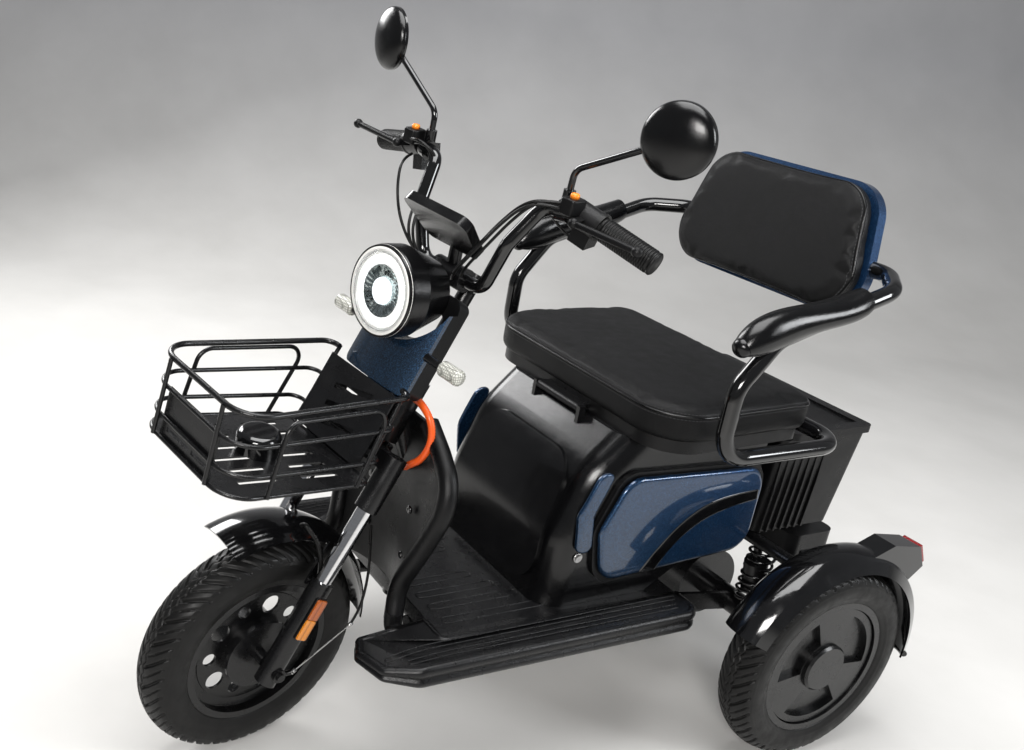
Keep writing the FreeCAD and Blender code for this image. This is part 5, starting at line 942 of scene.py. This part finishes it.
def mirror_backs():
    profile = [(0.0034, 0.0504), (0.0034, MIRROR_RADIUS), (0.0060, MIRROR_RADIUS)]
    for k in range(1, 14):
        t = pi / 2 * k / 14
        profile.append((0.0060 + MIRROR_DOME * sin(t), MIRROR_RADIUS * cos(t)))
    profile += [(0.0260, 0.0), (0.0240, 0.0), (0.0185, 0.0375), (0.0050, 0.0500)]
    for side, word in SIDES:
        centre = steered((0.300 * side, -0.170, 1.143))
        facing = TURN @ Quaternion((0, 0, 1), radians(14) * side) @ Vector((0, -1, 0))
        round_cap(f"mirror_back_{word}", profile, centre, facing, 72, "smooth", "steering", "gloss_black")


def spline_line(places):
    """The points of the smooth curve that a free cable's places control."""
    curve = nurbs("probe", places, 3)
    probe = bpy.data.objects.new("probe", curve)
    mesh = bpy.data.meshes.new_from_object(probe)
    line = [v.co.copy() for v in mesh.vertices]
    bpy.data.objects.remove(probe)
    bpy.data.curves.remove(curve)
    bpy.data.meshes.remove(mesh)
    return line


def run_length(line):
    return round(sum((b - a).length for a, b in zip(line, line[1:])), 3)


def free_line(name, places, radius):
    """A free cable on the steering along a smooth curve."""
    item = curve_piece(name, places, radius, "cable", "steering", order=3)
    tuple(places[0])
    run_length(spline_line(places))


# Routes with the wheels straight, from where each cable leaves its part.
NEAR_CABLES = mm(
    (166, -204, 1006), (148, -222, 1010), (124, -240, 997), (102, -254, 962), (84, -264, 926), (62, -272, 888),
    (44, -268, 862), (30, -252, 850),
)
NEAR_SWITCH = mm(
    (140, -232, 1008), (132, -212, 1004), (134, -190, 990), (146, -168, 966), (160, -146, 950), (176, -142, 956),
)
FAR_CABLES = mm(
    (-166, -204, 1006), (-144, -214, 1014), (-122, -200, 1006), (-113, -190, 976), (-104, -212, 940),
    (-92, -240, 912), (-74, -256, 884), (-50, -256, 858), (-32, -248, 848),
)
FAR_LOW = mm(
    (-176, -196, 984), (-152, -236, 985), (-136, -252, 958), (-120, -258, 925), (-98, -262, 898), (-68, -260, 870),
    (-40, -252, 852),
)
HUB = mm(
    (34, -470, 450), (46, -474, 462), (56, -466, 448), (58, -450, 426), (58, -432, 372), (58, -434, 318),
    (57, -446, 262), (52, -470, 222),
)
SHEATH = mm((74, -360, 240), (73, -345, 262), (71, -338, 300), (70, -338, 345), (70, -345, 390), (68, -352, 440))
# The conduit's route with the bars turned.
CONDUIT = mm(
    (24, -268, 640), (46, -279, 648), (76, -281, 648), (99, -275, 628), (104, -273, 594), (93, -279, 561),
    (64, -284, 537), (36, -276, 520), (26, -263, 514),
)
CABLE_RADIUS, WIRE_RADIUS, HUB_RADIUS = 0.0024, 0.0020, 0.0038
CONDUIT_RIB, CONDUIT_WAIST, CONDUIT_PITCH = 0.0064, 0.0054, 0.0022


def cable_bundle(name, route, shifts, rise):
    """Cables side by side, each a little higher than the last."""
    for index, (across, ahead) in enumerate(shifts):
        shift = Vector((across, ahead, rise * index))
        free_line(f"{name}_{index}", all_steered(Vector(q) + shift for q in route), CABLE_RADIUS)


def wiring():
    cable_bundle("near_cable", NEAR_CABLES, ((0, 0), (-0.006, 0.008), (0.007, 0.012)), 0.003)
    free_line("near_switch_wire", all_steered(NEAR_SWITCH), WIRE_RADIUS)
    cable_bundle("far_cable", FAR_CABLES, ((0, 0), (-0.007, -0.004)), 0.004)
    free_line("far_cable_2", all_steered(FAR_LOW), CABLE_RADIUS)
    free_line("hub_cable", all_steered(HUB), HUB_RADIUS)


def conduit():
    """Ribbed orange conduit from the turning head down to the shield."""
    line = spline_line(CONDUIT)
    around = 14
    verts = []
    rings = even_line(line, CONDUIT_PITCH, closed=False)
    for index, (spot, heading) in enumerate(rings):
        side = heading.cross(Vector((0, 0.3, 1))).normalized()
        up = side.cross(heading)
        reach = CONDUIT_RIB if index % 2 else CONDUIT_WAIST
        for k in range(around):
            t = 2 * pi * k / around
            verts.append(spot + (side * cos(t) + up * sin(t)) * reach)
    item = weld(mesh_piece("orange_conduit", verts, ring_faces(len(rings), around), "orange", None))
    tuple(CONDUIT[0])
    run_length(line)
    [tuple(q) for q in line]
    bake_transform(item)


HOUSING_CORNERS = mm((-13, -15), (13, -15), (13, 15), (-13, 15))
BUTTON_PROFILE = mm((0, 6.8), (5.2, 6.6), (7, 5), (7.6, 0), (0, 0))
GRIP_END_PROFILE = mm((-2, 17.3), (1, 17.6), (2.8, 16), (2.2, 11), (3, 9), (3, 0), (-2, 0))
GRIP_FOOT, GRIP_CREST = 0.0171, 0.0179


def control_caps():
    """Switch housings with orange buttons, grip end caps and the grips' ribs."""
    up = TURN @ Vector((0, 0, 1))
    ribs = [(-0.088, GRIP_FOOT)]
    for k in range(20):
        at = -0.086 + 0.0041 * k
        ribs += [(at, GRIP_FOOT), (at + 0.0006, GRIP_CREST), (at + 0.0024, GRIP_CREST), (at + 0.0030, GRIP_FOOT)]
    ribs += [(-0.003, GRIP_FOOT), (-0.003, 0.0168), (-0.088, 0.0168)]
    for side, word in SIDES:
        outline = rounded_outline(HOUSING_CORNERS, (0.005,) * 4, 5)
        middle = Vector((0.178 * side, -0.196, 1.002))
        pillow(f"button_housing_{word}", outline, 0.024, 0.003, "plastic", "steering",
               lambda x, y, level: steered(middle + Vector((x, y, level))))
        button = steered(middle + Vector((0, 0, 0.0238)))
        round_cap(f"orange_button_{word}", BUTTON_PROFILE, button, up, 28, "button", "steering")
        heading = TURN @ Vector((0.950 * side, 0.208, -0.232))
        end = steered((0.303 * side, -0.1477, 0.971))
        round_cap(f"grip_end_{word}", GRIP_END_PROFILE, end, heading, 40, "rubber", "steering")
        round_cap(f"grip_ribs_{word}", ribs, end, heading, 48, "rubber", "steering")


mirror_backs()
wiring()
conduit()
control_caps()


# Side panels, springs, brake gear and small trim

SPRING_TURNS, SPRING_STEPS, SPRING_RADIUS, SPRING_WIRE = 7, 14, 0.0245, 0.0030


def springs():
    for side, word in SIDES:
        low, high = Vector((0.190 * side, 0.4400, 0.226)), Vector((0.190 * side, 0.4505, 0.338))
        count = SPRING_TURNS * SPRING_STEPS
        places = []
        for k in range(count + 1):
            t = 2 * pi * SPRING_TURNS * k / count
            places.append(low.lerp(high, k / count) + Vector((cos(t), sin(t), 0)) * SPRING_RADIUS)
        curve_piece(f"shock_spring_{word}", places, SPRING_WIRE, "gloss_steel", "frame")


def brake_gear():
    """Brake arm, its bare inner cable with two barrels, and the cable's sheath."""
    arm = all_steered(mm((52, -512, 176), (60, -500, 168), (68, -482, 170), (74, -468, 177)))
    curve_piece("brake_arm", arm, 0.0045, "satin", "steering")
    pull = all_steered(mm((74, -468, 177), (74.5, -432, 198), (74.5, -396, 219), (74, -360, 240)))
    curve_piece("brake_pull", pull, 0.0013, "zinc", "steering")
    free_line("brake_sheath", all_steered(SHEATH), CABLE_RADIUS)
    barrel = mm((-5, 3.6), (5, 3.6), (5, 0), (-5, 0))
    along = (pull[-1] - pull[0]).normalized()
    for name, place in (("brake_barrel", arm[-1]), ("brake_ferrule", pull[-1])):
        round_cap(name, barrel, place, along, 20, "zinc", "steering")


PANEL_CROWN, PANEL_SINK = 0.0030, 0.0012
SWEEP_HIGH = mm(
    (128, 348.5), (146, 378), (166, 405), (190, 432), (216, 453), (246, 469), (280, 478), (320, 482.5), (374, 484),
)
SWEEP_LOW = mm(
    (166, 347.5), (180, 374), (196, 396), (216, 416), (240, 432), (270, 445), (300, 453), (335, 459), (376, 462),
)
# Across the sweep, as (share of its width, rise).
SWEEP_SECTION = ((0, -0.0006), (0.06, 0.0008), (0.5, 0.0004), (0.94, 0.0008), (1, -0.0006))


def bulge(along, up):
    """1 at the middle of a panel and 0 at its edges; both places run from -1 to 1."""
    return max(0.0, 1 - along**4) * max(0.0, 1 - up**2)


def side_sweep(side, word):
    """A moulded sweep across a side panel, a little proud of it, in gloss black as painted shade of the recess it
    stands for.
    """
    verts, faces = [], []
    for (ya, za), (yb, zb) in zip(SWEEP_HIGH, SWEEP_LOW):
        crown = PANEL_CROWN * bulge((ya - 0.2045) / 0.178, (za - 0.440) / 0.097) - PANEL_SINK
        for share, rise in SWEEP_SECTION:
            x = (0.2048 + rise + crown) * side
            verts.append(Vector((x, ya + (yb - ya) * share, za + (zb - za) * share)))
    rows = len(SWEEP_SECTION)
    for i in range(len(SWEEP_HIGH) - 1):
        for a in range(i * rows, i * rows + rows - 1):
            b = a + rows
            faces.append((a, a + 1, b + 1, b) if side > 0 else (a, b, b + 1, a + 1))
    # The sweep's gloss black is painted shade of a recess in the blue moulding.
    item = mesh_piece(f"side_sweep_{word}", verts, faces, "gloss", "frame")
    modify(item, "SOLIDIFY", thickness=0.0006, offset=-1.0)
    modify(item, "SUBSURF", levels=2, subdivision_type="CATMULL_CLARK")


def softened(node, voxel, rounds, rise):
    """Stands in for a flat CAD panel: the same form with rolled edges and a slight crown."""
    for side, word in SIDES:
        shape = bmesh.new()
        shape.from_mesh(nodes[node].data)
        gone = [v for v in shape.verts if v.co.x * side < 0]
        bmesh.ops.delete(shape, geom=gone, context="VERTS")
        mesh = bpy.data.meshes.new(f"{node}_{word}_skin")
        shape.to_mesh(mesh)
        shape.free()
        mesh.materials.clear()
        item = new_object(mesh.name, mesh)
        modify(item, "REMESH", mode="VOXEL", voxel_size=voxel)
        modify(item, "SMOOTH", factor=0.5, iterations=rounds)
        ys, zs = [v.co.y for v in mesh.vertices], [v.co.z for v in mesh.vertices]
        mid_y, half_y = (min(ys) + max(ys)) / 2, (max(ys) - min(ys)) / 2
        mid_z, half_z = (min(zs) + max(zs)) / 2, (max(zs) - min(zs)) / 2
        for vertex in mesh.vertices:
            co = vertex.co
            co.x += side * (0.0012 + rise * bulge((co.y - mid_y) / half_y, (co.z - mid_z) / half_z))
        smooth_shaded(mesh)
        finish_piece(item, "blue", "frame")
        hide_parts(node)


def arm_noses():
    """Rounded ends of the arm pads and the feet of the shield's rolled edge."""
    nose = mm((-4, 16), (0, 16.2), (4, 15.4), (8, 13.2), (11.5, 9), (13.2, 4.5), (13.8, 0))
    foot = mm((134, 306), (134.5, 292), (137, 281), (148, 277), (164, 277))
    for side, word in SIDES:
        heading = Vector((0, -0.035, -0.016)).normalized()
        place = Vector((0.300 * side, 0.127, 0.804))
        round_cap(f"pad_nose_{word}", nose, place, heading, 40, "smooth", "frame", closed=False)
        places = [(x * side, -0.3155, z) for x, z in foot]
        curve_piece(f"shield_foot_{word}", places, 0.0155, "plastic", "frame", order=3)


def small_trim():
    ring = mm((0, 9.5), (2.2, 9.2), (2.8, 8), (1.4, 6.2), (1.4, 0), (0, 0))
    round_cap("key_port", ring, Vector((0.1850, 0.002, 0.388)), ACROSS, 36, "zinc", "frame")
    stud = mm((-2, 7), (1, 6.8), (1.8, 5), (1, 2.6), (1, 0), (-2, 0))
    for index, (x, z) in enumerate(((0.069, 0.456), (-0.069, 0.456), (0.062, 0.365), (-0.062, 0.365))):
        centre = Vector((x, -0.262 - 0.012 * abs(x) / 0.07, z))
        round_cap(f"shield_stud_{index}", stud, centre, Vector((0, -1, 0)), 24, "gloss", "frame", "black_plastic")


LEG_AHEAD, REFLECTOR_ALONG, REFLECTOR_FOOT = 0.0333, 0.320, 0.084


def leg_pad(name, side, half, low, high, bottom, top, look):
    """A pad on a fork leg's outer face, between two heights along the leg."""
    outline = rounded_outline([(-half, low), (half, low), (half, high), (-half, high)], (0.003,) * 4, 4)

    def on_leg(x, y, level):
        return steered(at_fork(side * (REFLECTOR_FOOT + level + bottom), LEG_AHEAD + x, REFLECTOR_ALONG + y))

    return weld(pillow(name, outline, top - bottom, 0.0014, look, "steering", on_leg))


def fork_reflectors():
    """Reflectors of two shades on a black backing, on each fork leg's outer face, each with a painted glow, weaker on
    the darker upper half.
    """
    for side, word in SIDES:
        leg_pad(f"reflector_back_{word}", side, 0.0122, -0.0400, 0.0400, 0.0, 0.0108, "plastic")
        for part, low, high, look in (("lower", -0.0385, -0.0004, "amber"), ("upper", 0.0004, 0.0385, "deep_amber")):
            item = leg_pad(f"fork_reflector_{part}_{word}", side, 0.0107, low, high, 0.0060, 0.0143, look)
            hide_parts("fork_reflectors")


softened("side_accents", 0.0016, 8, 0.0022)
softened("side_panels", 0.0022, 7, 0.0030)
arm_noses()
springs()
brake_gear()
for side, word in SIDES:
    side_sweep(side, word)
small_trim()
fork_reflectors()


# Studio

STAGE_FRONT, STAGE_REAR, STAGE_ROUND, STAGE_TOP, STAGE_HALF = -6.0, 2.4, 2.0, 6.0, 9
BELOW_WHEELS = 0.0002


def stage_floor():
    """A pale floor that rises in a curve into a darker wall, facing the camera."""
    n = Nodes("floor")
    wall = n.ramp(n.noise(3, 6), (0.40, 0.40, 0.41), (0.44, 0.44, 0.45))
    ground = n.ramp(n.noise(3, 6), (0.60, 0.59, 0.57), (0.66, 0.65, 0.63))
    color = n.mix(n.span(n.split(n.coords)[2], 0, 1, 0.02, 1.1), ground, wall)
    n.put(Specular_IOR_Level=0.3)
    stuff = n.done(color, n.span(n.noise(20, 5), 0.5, 0.62), n.bump(n.noise(120, 4), 0.05, 0.0005))
    steps = 16
    turns = [pi / 2 * k / steps for k in range(steps + 1)]
    rows = [(STAGE_FRONT, 0.0)]
    rows += [(STAGE_REAR + STAGE_ROUND * sin(t), STAGE_ROUND * (1 - cos(t))) for t in turns]
    rows.append((STAGE_REAR + STAGE_ROUND, STAGE_TOP))
    back = Vector((-sin(CAMERA_YAW), cos(CAMERA_YAW), 0))
    side = Vector((back.y, -back.x, 0))
    verts = []
    for run, height in rows:
        for across in (-STAGE_HALF, STAGE_HALF):
            verts.append(back * run + side * across + Vector((0, 0, height - BELOW_WHEELS)))
    faces = [(2 * k, 2 * k + 1, 2 * k + 3, 2 * k + 2) for k in range(len(rows) - 1)]
    item = mesh_object("floor", verts, faces)
    item.data.materials.append(stuff)


LIT_PLACE = Vector((0, 0, 0.5))


def softbox(name, place, width, height, power, tone=(1, 1, 1)):
    """A rectangular lamp turned to the middle of the object."""
    data = bpy.data.lights.new(name, "AREA")
    data.shape, data.size, data.size_y = "RECTANGLE", width, height
    data.energy, data.color = power, tone
    item = new_object(name, data)
    item.location = place
    item.rotation_mode = "QUATERNION"
    item.rotation_quaternion = (Vector(place) - LIT_PLACE).to_track_quat("Z", "Y")


stage_floor()
softbox("overhead", (0.2, -0.2, 3.2), 2.2, 2.2, 105)
softbox("front_left", (2.6, -2.4, 2.2), 1.4, 0.9, 105, (1, 0.98, 0.96))
softbox("rear_left", (2.4, 2.2, 1.9), 1.0, 1.2, 60, (0.96, 0.98, 1))
softbox("right", (-2.6, -0.6, 2.0), 1.2, 1.2, 55)
world = bpy.data.worlds.new("studio")
world.use_nodes = True
background = world.node_tree.nodes["Background"]
background.inputs["Color"].default_value = (0.72, 0.74, 0.77, 1)
background.inputs["Strength"].default_value = 0.25
scene.world = world
scene.view_settings.view_transform = "Standard"
scene.view_settings.look = "None"
